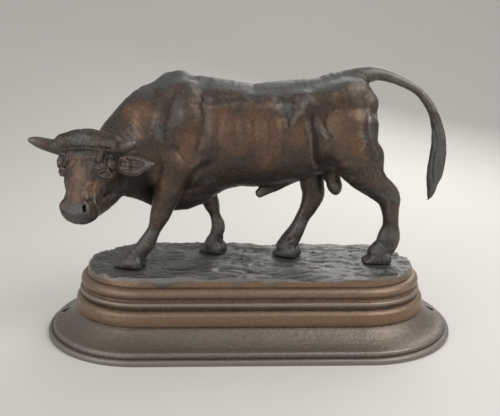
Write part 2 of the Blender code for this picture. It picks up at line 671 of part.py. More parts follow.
def main():
    """Build the sculpture."""
    clear_scene()
    collection = new_collection(COLLECTION)
    cutters = new_collection(CUTTERS)
    dark = bronze("dark_bronze", (0.060, 0.045, 0.034), 0.42, 0.85)
    brown = bronze("brown_bronze", (0.135, 0.095, 0.062), 0.50, 0.75)
    base = make_base(collection, brown)
    drill_base(base, cutters)
    make_bull(collection, dark)


main()
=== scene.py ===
"""A cast bronze bull on its moulded base: patinated metal, worked surface, camera and studio.

Laid out as an add-on with one operator for each piece and one for the stage, and run as a script.
Metres, +Z up; the bull itself is worked in its own units, see UNIT.
"""

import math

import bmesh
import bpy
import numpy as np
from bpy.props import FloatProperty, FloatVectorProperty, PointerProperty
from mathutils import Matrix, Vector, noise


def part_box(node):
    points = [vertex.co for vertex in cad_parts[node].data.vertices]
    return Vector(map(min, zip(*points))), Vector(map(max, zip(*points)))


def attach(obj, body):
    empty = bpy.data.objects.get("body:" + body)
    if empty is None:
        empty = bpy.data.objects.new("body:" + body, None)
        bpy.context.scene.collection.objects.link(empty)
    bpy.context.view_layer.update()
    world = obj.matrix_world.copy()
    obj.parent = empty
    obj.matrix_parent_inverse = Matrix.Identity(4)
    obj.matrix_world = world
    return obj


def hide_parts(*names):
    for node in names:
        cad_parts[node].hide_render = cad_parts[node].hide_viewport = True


bl_info = {
    "name": "Bull sculpture",
    "version": (1, 0, 0),
    "blender": (4, 5, 0),
    "location": "3D View > Sidebar > Bull",
    "description": "Models and finishes a cast bronze bull on a moulded base",
    "category": "Object",
}

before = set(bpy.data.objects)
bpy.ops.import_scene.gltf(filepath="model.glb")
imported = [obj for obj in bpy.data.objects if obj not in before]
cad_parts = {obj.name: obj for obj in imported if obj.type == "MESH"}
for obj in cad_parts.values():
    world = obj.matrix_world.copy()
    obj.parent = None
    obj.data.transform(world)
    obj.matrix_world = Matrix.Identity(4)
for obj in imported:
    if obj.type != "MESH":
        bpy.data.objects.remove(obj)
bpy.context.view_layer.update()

BASE_LOW, BASE_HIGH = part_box("base")
BULL_LOW, BULL_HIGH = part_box("bull")

# The bull is drawn in units of which BULL_TALL reach from its hooves to the top of its tail
BULL_TALL = 160.6
UNIT = (BULL_HIGH.z - BULL_LOW.z) / BULL_TALL
GROUND = BULL_LOW.z

# The base's mouldings and its ground are drawn in millimetres: heights, and insets from the rim
MM = 0.001
RIM_HIGH, EDGE_HIGH, FLANGE_HIGH = 4.3, 8.3, 19.1
WALL_HIGH, LEDGE_HIGH, GROUND_HIGH = 32.0, 48.9, 55.5
EDGE_IN, FLANGE_IN, WALL_IN, LEDGE_IN, GROUND_IN = 7.0, 23.3, 26.5, 31.4, 34.5


# Sizes and colours that a user would change


class BullProperties(bpy.types.PropertyGroup):
    """How finely the bull is worked."""

    grain: FloatProperty(name="Grain", default=1.48, min=0.8, max=4.0,
                         description="Spacing of the worked skin, in the bull's units")
    hair_depth: FloatProperty(name="Hair depth", default=0.9, min=0.0, max=2.0,
                              description="Depth of the hair's grooves, in the bull's units")
    tool_marks: FloatProperty(name="Tool marks", default=0.30, min=0.0, max=1.0,
                              description="Unevenness of the modelling, in the bull's units")


class BaseProperties(bpy.types.PropertyGroup):
    """Sizes of the base."""

    length: FloatProperty(name="Length", description="Length of the base over its rim", unit="LENGTH",
                          default=BASE_HIGH.x - BASE_LOW.x)
    depth: FloatProperty(name="Depth", description="Depth of the base over its rim", unit="LENGTH",
                         default=BASE_HIGH.y - BASE_LOW.y)
    hole: FloatProperty(name="Screw hole", description="Diameter of the screw holes",
                        unit="LENGTH", default=0.0075)
    hole_margin: FloatProperty(name="Hole margin", unit="LENGTH", default=0.012,
                               description="From the end of the base to the hole's centre")
    step: FloatProperty(name="Step", description="Spacing of the base's vertices along its outline",
                        unit="LENGTH", default=0.0019)
    relief: FloatProperty(name="Ground relief", description="Height of the scratched earth", unit="LENGTH",
                          default=0.0012)


class FinishProperties(bpy.types.PropertyGroup):
    """Colours of the bronze."""

    dark: FloatVectorProperty(name="Dark bronze", description="The body's patina", subtype="COLOR",
                              default=(0.060, 0.048, 0.041))
    worn: FloatVectorProperty(name="Worn bronze", description="Where the patina is rubbed thin",
                              subtype="COLOR", default=(0.165, 0.098, 0.061))
    green: FloatVectorProperty(name="Grey-green patina", description="Back, horns, hair and lower legs",
                               subtype="COLOR", default=(0.112, 0.114, 0.106))
    # Pale colour for raised edges: partly rubbed wear, partly painted highlight
    bright: FloatVectorProperty(name="Rubbed edge and painted highlight", description="Edges rubbed paler, with painted highlight", subtype="COLOR",
                                default=(0.26, 0.25, 0.225))
    wall: FloatVectorProperty(name="Wall bronze", description="Walls of the base", subtype="COLOR",
                              default=(0.205, 0.130, 0.082))
    rim: FloatVectorProperty(name="Rim bronze", description="Flange and rim of the base", subtype="COLOR",
                             default=(0.160, 0.130, 0.105))
    dust: FloatVectorProperty(name="Dust", description="Light dust in the hollows", subtype="COLOR",
                              default=(0.34, 0.32, 0.28))


class StageProperties(bpy.types.PropertyGroup):
    """Floor and lights."""

    floor: FloatVectorProperty(name="Floor", description="Colour of the floor", subtype="COLOR",
                               default=(0.62, 0.60, 0.575))
    key: FloatProperty(name="Key light", description="Power of the main light", unit="POWER", default=5.5)
    fill: FloatProperty(name="Fill light", description="Power of the fill light", unit="POWER", default=4.2)
    back: FloatProperty(name="Back light", description="Power of the light behind", unit="POWER",
                        default=3.8)
    sky: FloatProperty(name="Room light", description="Strength of the light from all round", default=0.74)


# Shader tools


class Nodes:
    """Short calls that add and join the nodes of one tree."""

    def __init__(self, tree):
        self.tree = tree

    def add(self, kind, values=None, **settings):
        """A node with its settings, and its sockets fed by numbers or by other sockets."""
        node = self.tree.nodes.new(kind)
        for name, value in settings.items():
            setattr(node, name, value)
        for name, value in (values or {}).items():
            self.feed(node.inputs[name], value)
        return node

    def result(self, kind, output, values=None, **settings):
        """One output of a new node."""
        return self.add(kind, values, **settings).outputs[output]

    def feed(self, socket, value):
        """Set a socket or link it."""
        if isinstance(value, bpy.types.NodeSocket):
            self.tree.links.new(value, socket)
        else:
            socket.default_value = value

    def math(self, operation, a, b=0.0, clamp=False):
        """One sum."""
        return self.result("ShaderNodeMath", 0, {0: a, 1: b}, operation=operation, use_clamp=clamp)

    def ramp(self, value, low, high, to_low=0.0, to_high=1.0):
        """A smooth step between two levels."""
        return self.result("ShaderNodeMapRange", "Result", {
            "Value": value, "From Min": low, "From Max": high, "To Min": to_low, "To Max": to_high},
            interpolation_type="SMOOTHSTEP")

    def mix(self, share, a, b, kind="MIX"):
        """Two colours mixed; the node keeps its colour sockets at these numbers."""
        node = self.add("ShaderNodeMix", data_type="RGBA", blend_type=kind)
        self.feed(node.inputs["Factor"], share)
        self.feed(node.inputs[6], a)
        self.feed(node.inputs[7], b)
        return node.outputs[2]

    def noise(self, place, scale, detail=4.0, roughness=0.55, distortion=0.0):
        """A noise value on the given coordinates."""
        return self.result("ShaderNodeTexNoise", "Fac", {
            "Vector": place, "Scale": scale, "Detail": detail, "Roughness": roughness,
            "Distortion": distortion})


def rgba(colour):
    """A colour property as a socket value."""
    return (*colour, 1.0)


def new_group(name, inputs, outputs):
    """An empty shader node group with its sockets."""
    tree = bpy.data.node_groups.new(name, "ShaderNodeTree")
    for kind, sockets in (("INPUT", inputs), ("OUTPUT", outputs)):
        for label, socket_type in sockets:
            tree.interface.new_socket(label, in_out=kind, socket_type=socket_type)
    nodes = Nodes(tree)
    return nodes, nodes.add("NodeGroupInput").outputs, nodes.add("NodeGroupOutput").inputs


COLOUR, NUMBER, VECTOR = "NodeSocketColor", "NodeSocketFloat", "NodeSocketVector"


def patina_group():
    """Dark bronze that is rubbed thin in places and grey-green in others."""
    nodes, given, out = new_group(
        "Patina",
        [("Place", VECTOR), ("Dark", COLOUR), ("Worn", COLOUR), ("Green", COLOUR), ("Rubbed", NUMBER),
         ("Weathered", NUMBER), ("Mottle", NUMBER)],
        [("Colour", COLOUR), ("Roughness", NUMBER)])
    broad = nodes.noise(given["Place"], 70.0, 5.0, 0.6, 0.4)
    fine = nodes.noise(given["Place"], 420.0, 6.0, 0.65)
    speck = nodes.noise(given["Place"], 1500.0, 3.0, 0.6)
    swing = nodes.math("MULTIPLY", nodes.math("SUBTRACT", broad, 0.5), given["Mottle"])
    grit = nodes.math("MULTIPLY", nodes.math("SUBTRACT", fine, 0.5), given["Mottle"])
    rub = nodes.math("ADD", given["Rubbed"], nodes.math("ADD", nodes.math("MULTIPLY", swing, 1.2), grit))
    rub = nodes.ramp(rub, -0.25, 1.15)
    green = nodes.math("SUBTRACT", given["Weathered"], nodes.math("MULTIPLY", swing, 1.1))
    green = nodes.ramp(nodes.math("ADD", green, nodes.math("MULTIPLY", grit, 0.9)), 0.2, 0.9)
    tone = nodes.mix(rub, given["Dark"], given["Worn"])
    tone = nodes.mix(green, tone, given["Green"])
    shade = nodes.ramp(speck, 0.35, 0.68, 0.72, 1.2)
    shade = nodes.result("ShaderNodeCombineColor", 0, {0: shade, 1: shade, 2: shade})
    tone = nodes.mix(1.0, tone, shade, "MULTIPLY")
    rough = nodes.math("ADD", nodes.math("MULTIPLY", green, 0.10), nodes.math("MULTIPLY", fine, 0.16))
    nodes.feed(out["Colour"], tone)
    nodes.feed(out["Roughness"], nodes.math("ADD", rough, 0.30))
    return nodes.tree


def wear_and_painted_light_group():
    """Edges rubbed bright, partly wear and partly painted highlight, and hollows darkened with painted
    shade, after the relief painted on the piece.
    """
    nodes, given, out = new_group(
        "Edge wear and painted light",
        [("Place", VECTOR), ("Colour", COLOUR), ("Bright", COLOUR), ("Relief", NUMBER), ("Edge", NUMBER),
         ("Hollow", NUMBER)],
        [("Colour", COLOUR), ("Edge", NUMBER), ("Hollow", NUMBER)])
    grit = nodes.noise(given["Place"], 650.0, 4.0, 0.6)
    grit = nodes.math("MULTIPLY", nodes.math("SUBTRACT", grit, 0.5), 0.35)
    level = nodes.math("ADD", given["Relief"], grit)
    edge = nodes.math("MULTIPLY", nodes.ramp(level, 0.56, 0.86), given["Edge"], clamp=True)
    hollow = nodes.math("MULTIPLY", nodes.ramp(level, 0.46, 0.16), given["Hollow"], clamp=True)
    # Painted shade: the hollows are darkened towards near black
    tone = nodes.mix(hollow, given["Colour"], (0.014, 0.012, 0.010, 1.0))
    # Raised edges mixed towards the pale colour: rubbed wear and painted highlight
    nodes.feed(out["Colour"], nodes.mix(edge, tone, given["Bright"]))
    nodes.feed(out["Edge"], edge)
    nodes.feed(out["Hollow"], hollow)
    return nodes.tree


def dust_group():
    """Light dust that lies on what faces up and in hollows."""
    nodes, given, out = new_group(
        "Dust",
        [("Place", VECTOR), ("Colour", COLOUR), ("Dust", COLOUR), ("Amount", NUMBER), ("Hollow", NUMBER)],
        [("Colour", COLOUR), ("Mask", NUMBER)])
    normal = nodes.result("ShaderNodeNewGeometry", "Normal")
    up = nodes.result("ShaderNodeSeparateXYZ", "Z", {0: normal})
    lying = nodes.ramp(up, 0.2, 1.0)
    clump = nodes.ramp(nodes.noise(given["Place"], 900.0, 5.0, 0.7), 0.50, 0.72)
    speck = nodes.ramp(nodes.noise(given["Place"], 2600.0, 2.0, 0.5), 0.62, 0.74)
    caught = nodes.math("MULTIPLY", given["Hollow"], clump)
    mask = nodes.math("ADD", nodes.math("MULTIPLY", lying, clump), caught)
    mask = nodes.math("ADD", mask, nodes.math("MULTIPLY", speck, 0.5))
    mask = nodes.math("MULTIPLY", mask, given["Amount"], clamp=True)
    nodes.feed(out["Colour"], nodes.mix(mask, given["Colour"], given["Dust"]))
    nodes.feed(out["Mask"], mask)
    return nodes.tree


def cast_skin_group():
    """Height of a sand-cast, hand-worked surface: pores, pits and soft unevenness."""
    nodes, given, out = new_group("Cast skin", [("Place", VECTOR), ("Pits", NUMBER)], [("Height", NUMBER)])
    soft = nodes.noise(given["Place"], 260.0, 5.0, 0.6)
    pores = nodes.noise(given["Place"], 1800.0, 4.0, 0.6)
    cells = nodes.result("ShaderNodeTexVoronoi", "Distance", {"Vector": given["Place"], "Scale": 520.0})
    pits = nodes.math("MULTIPLY", nodes.ramp(cells, 0.22, 0.05), given["Pits"])
    height = nodes.math("ADD", soft, nodes.math("MULTIPLY", pores, 0.25))
    nodes.feed(out["Height"], nodes.math("SUBTRACT", height, pits))
    return nodes.tree


def shared_group(name, make):
    """The group of that name, built the first time it is asked for."""
    return bpy.data.node_groups.get(name) or make()


def place_group(nodes, name, make, values):
    """A shared group placed in a material."""
    node = nodes.add("ShaderNodeGroup")
    node.node_tree = shared_group(name, make)
    for label, value in values.items():
        nodes.feed(node.inputs[label], value)
    return node.outputs


def new_material(name, metallic):
    """A material with its Principled shader and object coordinates."""
    material = bpy.data.materials.new(name)
    material.use_nodes = True
    nodes = Nodes(material.node_tree)
    shader = material.node_tree.nodes["Principled BSDF"]
    shader.inputs["Metallic"].default_value = metallic
    place = nodes.result("ShaderNodeTexCoord", "Object")
    return material, nodes, shader, place


def painted(nodes, name):
    """A value painted on the piece."""
    return nodes.result("ShaderNodeAttribute", "Fac", attribute_name=name)


def finish_surface(nodes, shader, place, colour, roughness, pits, depth):
    """Colour, roughness and the fine cast surface joined to the shader."""
    skin = place_group(nodes, "Cast skin", cast_skin_group, {"Place": place, "Pits": pits})
    bump = nodes.add("ShaderNodeBump", {"Height": skin["Height"], "Strength": 1.0, "Distance": depth})
    nodes.feed(shader.inputs["Base Color"], colour)
    nodes.feed(shader.inputs["Roughness"], roughness)
    nodes.feed(shader.inputs["Normal"], bump.outputs["Normal"])


def bull_bronze(finish):
    """The bull's dark patina, red-brown on the flanks and grey-green on back, hair and feet."""
    material, nodes, shader, place = new_material("bull_bronze", 0.72)
    skin = place_group(nodes, "Patina", patina_group, {
        "Place": place, "Dark": rgba(finish.dark), "Worn": rgba(finish.worn), "Green": rgba(finish.green),
        "Rubbed": painted(nodes, "rubbed"), "Weathered": painted(nodes, "weathered"), "Mottle": 1.5})
    # Raised edges lightened, partly rubbed wear and partly painted highlight; hollows darkened with painted
    # shade
    wear_and_painted_light = place_group(nodes, "Edge wear and painted light", wear_and_painted_light_group, {
        "Place": place, "Colour": skin["Colour"], "Bright": rgba(finish.bright),
        "Relief": painted(nodes, "relief"), "Edge": 0.34, "Hollow": 0.7})
    dust = place_group(nodes, "Dust", dust_group, {
        "Place": place, "Colour": wear_and_painted_light["Colour"], "Dust": rgba(finish.dust), "Amount": 0.10,
        "Hollow": wear_and_painted_light["Hollow"]})
    rough = nodes.math("SUBTRACT", skin["Roughness"], nodes.math("MULTIPLY", wear_and_painted_light["Edge"], 0.08))
    rough = nodes.math("ADD", rough, nodes.math("MULTIPLY", dust["Mask"], 0.3))
    finish_surface(nodes, shader, place, dust["Colour"], rough, 0.25, 0.00035)
    return material


def base_bronze(finish):
    """The base: grey-green earth, warm brown walls, greyer flange and rim."""
    material, nodes, shader, place = new_material("base_bronze", 0.60)
    height = nodes.result("ShaderNodeSeparateXYZ", "Z", {0: place})
    earth = painted(nodes, "earth")
    low = nodes.ramp(height, (FLANGE_HIGH + 1.4) * MM, (FLANGE_HIGH - 1.6) * MM)
    wall = nodes.mix(low, rgba(finish.wall), rgba(finish.rim))
    skin = place_group(nodes, "Patina", patina_group, {
        "Place": place, "Dark": nodes.mix(earth, wall, rgba(finish.dark)),
        "Worn": nodes.mix(earth, wall, rgba(finish.green)), "Green": rgba(finish.green), "Rubbed": 0.6,
        "Weathered": nodes.math("MULTIPLY", earth, 0.55), "Mottle": 1.2})
    # Raised edges lightened, partly rubbed wear and partly painted highlight; hollows darkened with painted
    # shade
    wear_and_painted_light = place_group(nodes, "Edge wear and painted light", wear_and_painted_light_group, {
        "Place": place, "Colour": skin["Colour"], "Bright": rgba(finish.bright),
        "Relief": painted(nodes, "relief"), "Edge": 0.45, "Hollow": 0.8})
    dust = place_group(nodes, "Dust", dust_group, {
        "Place": place, "Colour": wear_and_painted_light["Colour"], "Dust": rgba(finish.dust), "Amount": 0.35,
        "Hollow": wear_and_painted_light["Hollow"]})
    rough = nodes.math("ADD", skin["Roughness"], nodes.math("MULTIPLY", dust["Mask"], 0.25))
    finish_surface(nodes, shader, place, dust["Colour"], rough, 0.6, 0.00040)
    return material


# Mesh tools


def mesh_arrays(mesh):
    """Vertex places, normals and the two ends of every edge."""
    count = len(mesh.vertices)
    points = np.empty(count * 3)
    mesh.vertices.foreach_get("co", points)
    normals = np.empty(count * 3)
    mesh.vertex_normals.foreach_get("vector", normals)
    edges = np.empty(len(mesh.edges) * 2, int)
    mesh.edges.foreach_get("vertices", edges)
    return points.reshape(-1, 3), normals.reshape(-1, 3), edges.reshape(-1, 2)


def spread(values, edges, rounds):
    """Values averaged with their neighbours' a number of times."""
    one, two = edges.T
    count = len(values)
    valence = np.maximum(np.bincount(edges.ravel(), minlength=count), 1)
    for _ in range(rounds):
        total = np.bincount(one, values[two], count) + np.bincount(two, values[one], count)
        values = 0.5 * values + 0.5 * total / valence
    return values


def paint(mesh, name, values):
    """Store one value for each vertex."""
    layer = mesh.attributes.get(name) or mesh.attributes.new(name, "FLOAT", "POINT")
    layer.data.foreach_set("value", np.asarray(values, np.float32))


def paint_relief(mesh, reach, strength):
    """Paint how far each place stands out, 1, or lies in, 0, against the smoothed surface around it."""
    points, normals, edges = mesh_arrays(mesh)
    smooth = np.column_stack([spread(points[:, c], edges, reach) for c in range(3)])
    level = ((points - smooth) * normals).sum(1) / strength
    paint(mesh, "relief", np.clip(0.5 + 0.5 * spread(level, edges, 1), 0, 1))


def keep_inside(mesh, low, high):
    """Draw the mesh in by the hair's breadth that its fine surface stands outside the solid's box."""
    points, _, _ = mesh_arrays(mesh)
    for axis in range(3):
        least, most = points[:, axis].min(), points[:, axis].max()
        to_least, to_most = max(least, low[axis]), min(most, high[axis])
        points[:, axis] = to_least + (points[:, axis] - least) * (to_most - to_least) / (most - least)
    mesh.vertices.foreach_set("co", points.ravel())
    mesh.update()


def smooth_path(stations, steps):
    """A curve through the stations with every column eased alike."""
    rows = np.array(stations, float)
    rows = np.vstack([2 * rows[0] - rows[1], rows, 2 * rows[-1] - rows[-2]])
    path = []
    for i in range(1, len(rows) - 2):
        a, b, c, d = rows[i - 1], rows[i], rows[i + 1], rows[i + 2]
        for t in np.arange(steps) / steps:
            path.append(0.5 * (2 * b + (c - a) * t + (2 * a - 5 * b + 4 * c - d) * t ** 2
                               + (3 * b - a - 3 * c + d) * t ** 3))
    path.append(rows[-2])
    return np.array(path)


def blend_min(a, b, reach):
    """The smaller of two distances, with a soft fillet where they are within reach of each other."""
    near = np.maximum(reach - np.abs(a - b), 0) / reach
    return np.minimum(a, b) - near * near * reach / 4


def add_egg(bm, centre, radii, axes):
    """An egg-shaped lump on the given axes."""
    turn = Matrix.Identity(4)
    for column in range(3):
        for row in range(3):
            turn[row][column] = axes[column][row] * radii[column] * 0.97
    turn.translation = Vector(centre)
    bmesh.ops.create_icosphere(bm, subdivisions=3, radius=1.0, matrix=turn)


class Sweep:
    """Oval sections carried along a path; a station is x, y, z, half size upwards, half size across."""

    def __init__(self, stations, blend, up=(0, 0, 1), steps=4, cut=False):
        self.path = smooth_path(stations, steps)
        self.blend = blend
        self.cut = cut
        points = self.path[:, :3]
        tangent = np.gradient(points, axis=0)
        self.tangent = tangent / np.linalg.norm(tangent, axis=1)[:, None]
        across = np.cross(self.tangent, np.array(up, float))
        self.across = across / np.linalg.norm(across, axis=1)[:, None]
        self.upward = np.cross(self.across, self.tangent)
        reach = self.path[:, 3:5].max() + blend + 1.0
        self.low = points.min(0) - reach
        self.high = points.max(0) + reach

    def distance(self, points):
        """Distance of each point to the surface, exact enough within a blend of it."""
        best = np.full(len(points), 1e3)
        for i in range(len(self.path) - 1):
            a, b = self.path[i], self.path[i + 1]
            reach = max(a[3:5].max(), b[3:5].max()) + self.blend + 2.0
            low = np.minimum(a[:3], b[:3]) - reach
            high = np.maximum(a[:3], b[:3]) + reach
            near = np.flatnonzero(((points > low) & (points < high)).all(1))
            if not len(near):
                continue
            axis = b[:3] - a[:3]
            offset = points[near] - a[:3]
            share = np.clip(offset @ axis / (axis @ axis), 0, 1)[:, None]
            offset = offset - share * axis
            up = self.upward[i] * (1 - share) + self.upward[i + 1] * share
            side = self.across[i] * (1 - share) + self.across[i + 1] * share
            size = np.maximum(a[3:5] * (1 - share) + b[3:5] * share, 0.05)
            local = np.stack([(offset * up).sum(1), (offset * side).sum(1), offset @ self.tangent[i]], 1)
            radii = np.column_stack([size, size.min(1)])
            whole = np.linalg.norm(local / radii, axis=1)
            slope = np.linalg.norm(local / radii ** 2, axis=1) + 1e-9
            best[near] = np.minimum(best[near], whole * (whole - 1) / slope)
        return best

    def block_in(self, bm, sides=14):
        """A rough closed tube with round ends."""
        rings = []
        for row, up, side in zip(self.path, self.upward, self.across):
            angles = [2 * math.pi * k / sides for k in range(sides)]
            rings.append([bm.verts.new(row[:3] + up * row[3] * math.cos(t) + side * row[4] * math.sin(t))
                          for t in angles])
        for one, two in zip(rings, rings[1:]):
            for k in range(sides):
                bm.faces.new((one[k], one[k - 1], two[k - 1], two[k]))
        bm.faces.new(rings[0])
        bm.faces.new(rings[-1][::-1])
        for end in (0, -1):
            row = self.path[end]
            axes = (self.upward[end], self.across[end], self.tangent[end])
            add_egg(bm, row[:3], (row[3], row[4], min(row[3:5])), axes)


class Egg:
    """An egg-shaped muscle, or a hollow if cut."""

    def __init__(self, centre, radii, blend, lean=0.0, axes=None, cut=False):
        self.centre = np.array(centre, float)
        self.radii = np.array(radii, float)
        self.blend = blend
        self.cut = cut
        if axes is None:
            c, s = math.cos(math.radians(lean)), math.sin(math.radians(lean))
            axes = ((c, 0, -s), (0, 1, 0), (s, 0, c))
        self.axes = np.array(axes, float)
        reach = self.radii.max() + blend + 1.0
        self.low = self.centre - reach
        self.high = self.centre + reach

    def distance(self, points):
        """Distance of each point to the surface."""
        local = (points - self.centre) @ self.axes.T
        whole = np.linalg.norm(local / self.radii, axis=1)
        slope = np.linalg.norm(local / self.radii ** 2, axis=1) + 1e-9
        return whole * (whole - 1) / slope

    def block_in(self, bm):
        """A rough lump of the same size."""
        add_egg(bm, self.centre, self.radii, self.axes)


class Stroke:
    """A groove drawn on the surface with a round tool; a negative depth raises a ridge.

    With a side, the stroke is drawn square on to that flank and its y is not used.
    """

    def __init__(self, stations, width, depth, side=0, steps=4):
        self.path = smooth_path(stations, steps)
        self.width = width
        self.depth = depth
        self.side = side
        self.low = self.path.min(0) - 3 * width
        self.high = self.path.max(0) + 3 * width
        if side:
            self.low[1], self.high[1] = sorted((side * 7.0, side * 60.0))

    def depth_at(self, points):
        """How far the surface moves inwards at each point."""
        flat = np.array((1, 0 if self.side else 1, 1))
        best = np.full(len(points), 1e3)
        fade = np.ones(len(points))
        count = len(self.path) - 1
        for i in range(count):
            a, b = self.path[i] * flat, self.path[i + 1] * flat
            offset = points * flat - a
            axis = b - a
            share = np.clip(offset @ axis / (axis @ axis), 0, 1)
            away = np.linalg.norm(offset - share[:, None] * axis, axis=1)
            closer = away < best
            best[closer] = away[closer]
            place = (i + share[closer]) / count
            fade[closer] = np.minimum(1, 4 * np.minimum(place, 1 - place) + 0.3)
        return self.depth * fade * np.exp(-(best / self.width) ** 2)


class Comb:
    """Hair drawn with a comb over an egg-shaped patch: rows of short locks that run along the first axis."""

    def __init__(self, centre, radii, axes, pitch, depth, row=9.0, fan=0.0, sway=0.8):
        self.centre = np.array(centre, float)
        self.radii = np.array(radii, float)
        self.axes = np.array(axes, float)
        self.pitch = pitch
        self.depth = depth
        self.row = row
        self.fan = fan
        self.sway = sway
        reach = self.radii.max() * 1.2
        self.low = self.centre - reach
        self.high = self.centre + reach

    def depth_at(self, points):
        """Grooves between the locks; each row of locks ends in a step."""
        along, across, out = ((points - self.centre) @ self.axes.T).T
        length, width, height = self.radii
        away = np.sqrt((along / length) ** 2 + (across / width) ** 2 + (out / height) ** 2)
        mask = np.clip((1.0 - away) / 0.25, 0, 1)
        lean = across / (1 + self.fan * along)
        curl = self.sway * np.sin(along / 2.3 + 0.9 * np.sin(lean / 3.1))
        column = (lean + curl) / self.pitch
        lock = np.floor(column)
        shift = 0.5 + 0.5 * np.sin(lock * 12.9898 + 4.1)
        step = along / self.row + shift * 0.8
        climb = step - np.floor(step)
        groove = (1 - np.abs(np.sin(math.pi * column))) ** 2
        return mask * self.depth * (groove + 0.55 * climb - 0.3)


def field(figure, points):
    """Signed distance of each point to the finished surface of a figure of forms and strokes."""
    value = np.full(len(points), 1e3)
    for form in figure["forms"]:
        near = np.flatnonzero(((points > form.low) & (points < form.high)).all(1))
        if not len(near):
            continue
        distance = form.distance(points[near])
        if form.cut:
            value[near] = -blend_min(-value[near], distance, form.blend)
        else:
            value[near] = blend_min(value[near], distance, form.blend)
    for stroke in figure["strokes"]:
        near = np.flatnonzero(((points > stroke.low) & (points < stroke.high)).all(1))
        if len(near):
            value[near] += stroke.depth_at(points[near])
    underside = -points[:, 2]
    return -blend_min(-value, -underside, 0.6)


def settle(mesh, figure, rounds=7, relaxed=3):
    """Move every vertex onto the figure's surface, evening the mesh out in the first rounds."""
    points, _, edges = mesh_arrays(mesh)
    for step in range(rounds):
        _, normals, _ = mesh_arrays(mesh)
        depth = np.clip(field(figure, points), -2.0, 2.0)
        points = points - normals * depth[:, None] * 0.8
        if step < relaxed:
            points = np.column_stack([spread(points[:, c], edges, 1) for c in range(3)])
        mesh.vertices.foreach_set("co", points.ravel())
        mesh.update()


def refine(mesh, finer):
    """Cut the quads in the given balls in four, where the detail is finest."""
    bm = bmesh.new()
    bm.from_mesh(mesh)
    chosen = set()
    for centre, radius in finer:
        centre = Vector(centre)
        for face in bm.faces:
            if (face.calc_center_median() - centre).length < radius:
                chosen.add(face)
    edges = list({edge for face in chosen for edge in face.edges})
    bmesh.ops.subdivide_edges(bm, edges=edges, cuts=1, use_grid_fill=True)
    bmesh.ops.triangulate(bm, faces=[face for face in bm.faces if len(face.verts) > 4])
    bm.to_mesh(mesh)
    bm.free()


def fuse(figure, name, grain, finer):
    """Block every form in, fuse the blocks to one skin, refine it and settle it."""
    bm = bmesh.new()
    for form in figure["forms"]:
        if not form.cut:
            form.block_in(bm)
    for vert in bm.verts:
        vert.co.z = max(vert.co.z, 0.0)
    bmesh.ops.recalc_face_normals(bm, faces=bm.faces)
    mesh = bpy.data.meshes.new(name)
    bm.to_mesh(mesh)
    bm.free()
    clay = bpy.data.objects.new(name, mesh)
    bpy.context.scene.collection.objects.link(clay)
    remesh = clay.modifiers.new("fuse", "REMESH")
    remesh.mode = "VOXEL"
    remesh.voxel_size = grain
    remesh.adaptivity = 0.0
    depsgraph = bpy.context.evaluated_depsgraph_get()
    skin = bpy.data.meshes.new_from_object(clay.evaluated_get(depsgraph))
    bpy.data.objects.remove(clay, do_unlink=True)
    refine(skin, finer)
    settle(skin, figure)
    return skin


# The bull, in its own units: x along the body, y across, z above the ground


def trunk():
    """Barrel, back, shoulders, hips and belly."""
    barrel = [(-74, 0, 99.5, 41, 19), (-58, 0, 100, 55, 25), (-38, 0, 104.2, 47.5, 29),
              (-12, 0, 104.8, 42.3, 31), (0, 0, 103.8, 41.5, 31), (15, 0, 105.6, 41.7, 30.5),
              (40, 0, 109.8, 40.2, 27), (62, 0, 115.2, 37.6, 24), (75, 0, 121.2, 36.4, 20),
              (84, 0, 124, 33, 16)]
    forms = [Sweep(barrel, 4)]
    for side in (-1, 1):
        back = [(-66, side * 6, 139, 8, 7), (-40, side * 12, 132, 11, 11), (0, side * 16, 127, 10, 11),
                (40, side * 16, 130, 10, 11), (66, side * 14, 137, 11, 12), (82, side * 10, 142, 9, 10)]
        forms += [
            Sweep(back, 6),
            Egg((-62, side * 17, 112), (17, 12, 38), 7, 16),
            Egg((-53, side * 20, 116), (8, 8, 15), 6, 8),
            Egg((-72, side * 20, 86), (15, 10, 19), 6, 20),
            Egg((-52, side * 20, 90), (13, 11, 22), 6, -12),
            Egg((76, side * 14, 116), (17, 13, 32), 6, -4),
            Egg((90, side * 12.5, 131), (8.5, 7, 10), 6),
            Egg((39, side * 20, 131), (6, 6, 8), 6),
            Egg((62, side * 17, 106), (12, 12, 20), 6, 20),
        ]
    return forms


def neck():
    """Neck turned to the near side, throat, dewlap and brisket."""
    crest = [(-60, 0, 106, 42, 25), (-77, -6, 103.5, 41, 25), (-91, -17, 98, 32.5, 22.5),
             (-102, -28, 91.5, 25, 20), (-107, -36, 87, 19.5, 17)]
    throat = [(-102, -36, 71.5, 9, 8), (-95, -24, 67.5, 10, 8), (-86, -9, 64, 13, 9), (-72, 0, 58, 15, 12),
              (-58, 0, 58, 15, 14), (-44, 0, 66, 12, 14)]
    return [Sweep(crest, 6), Sweep(throat, 6)]


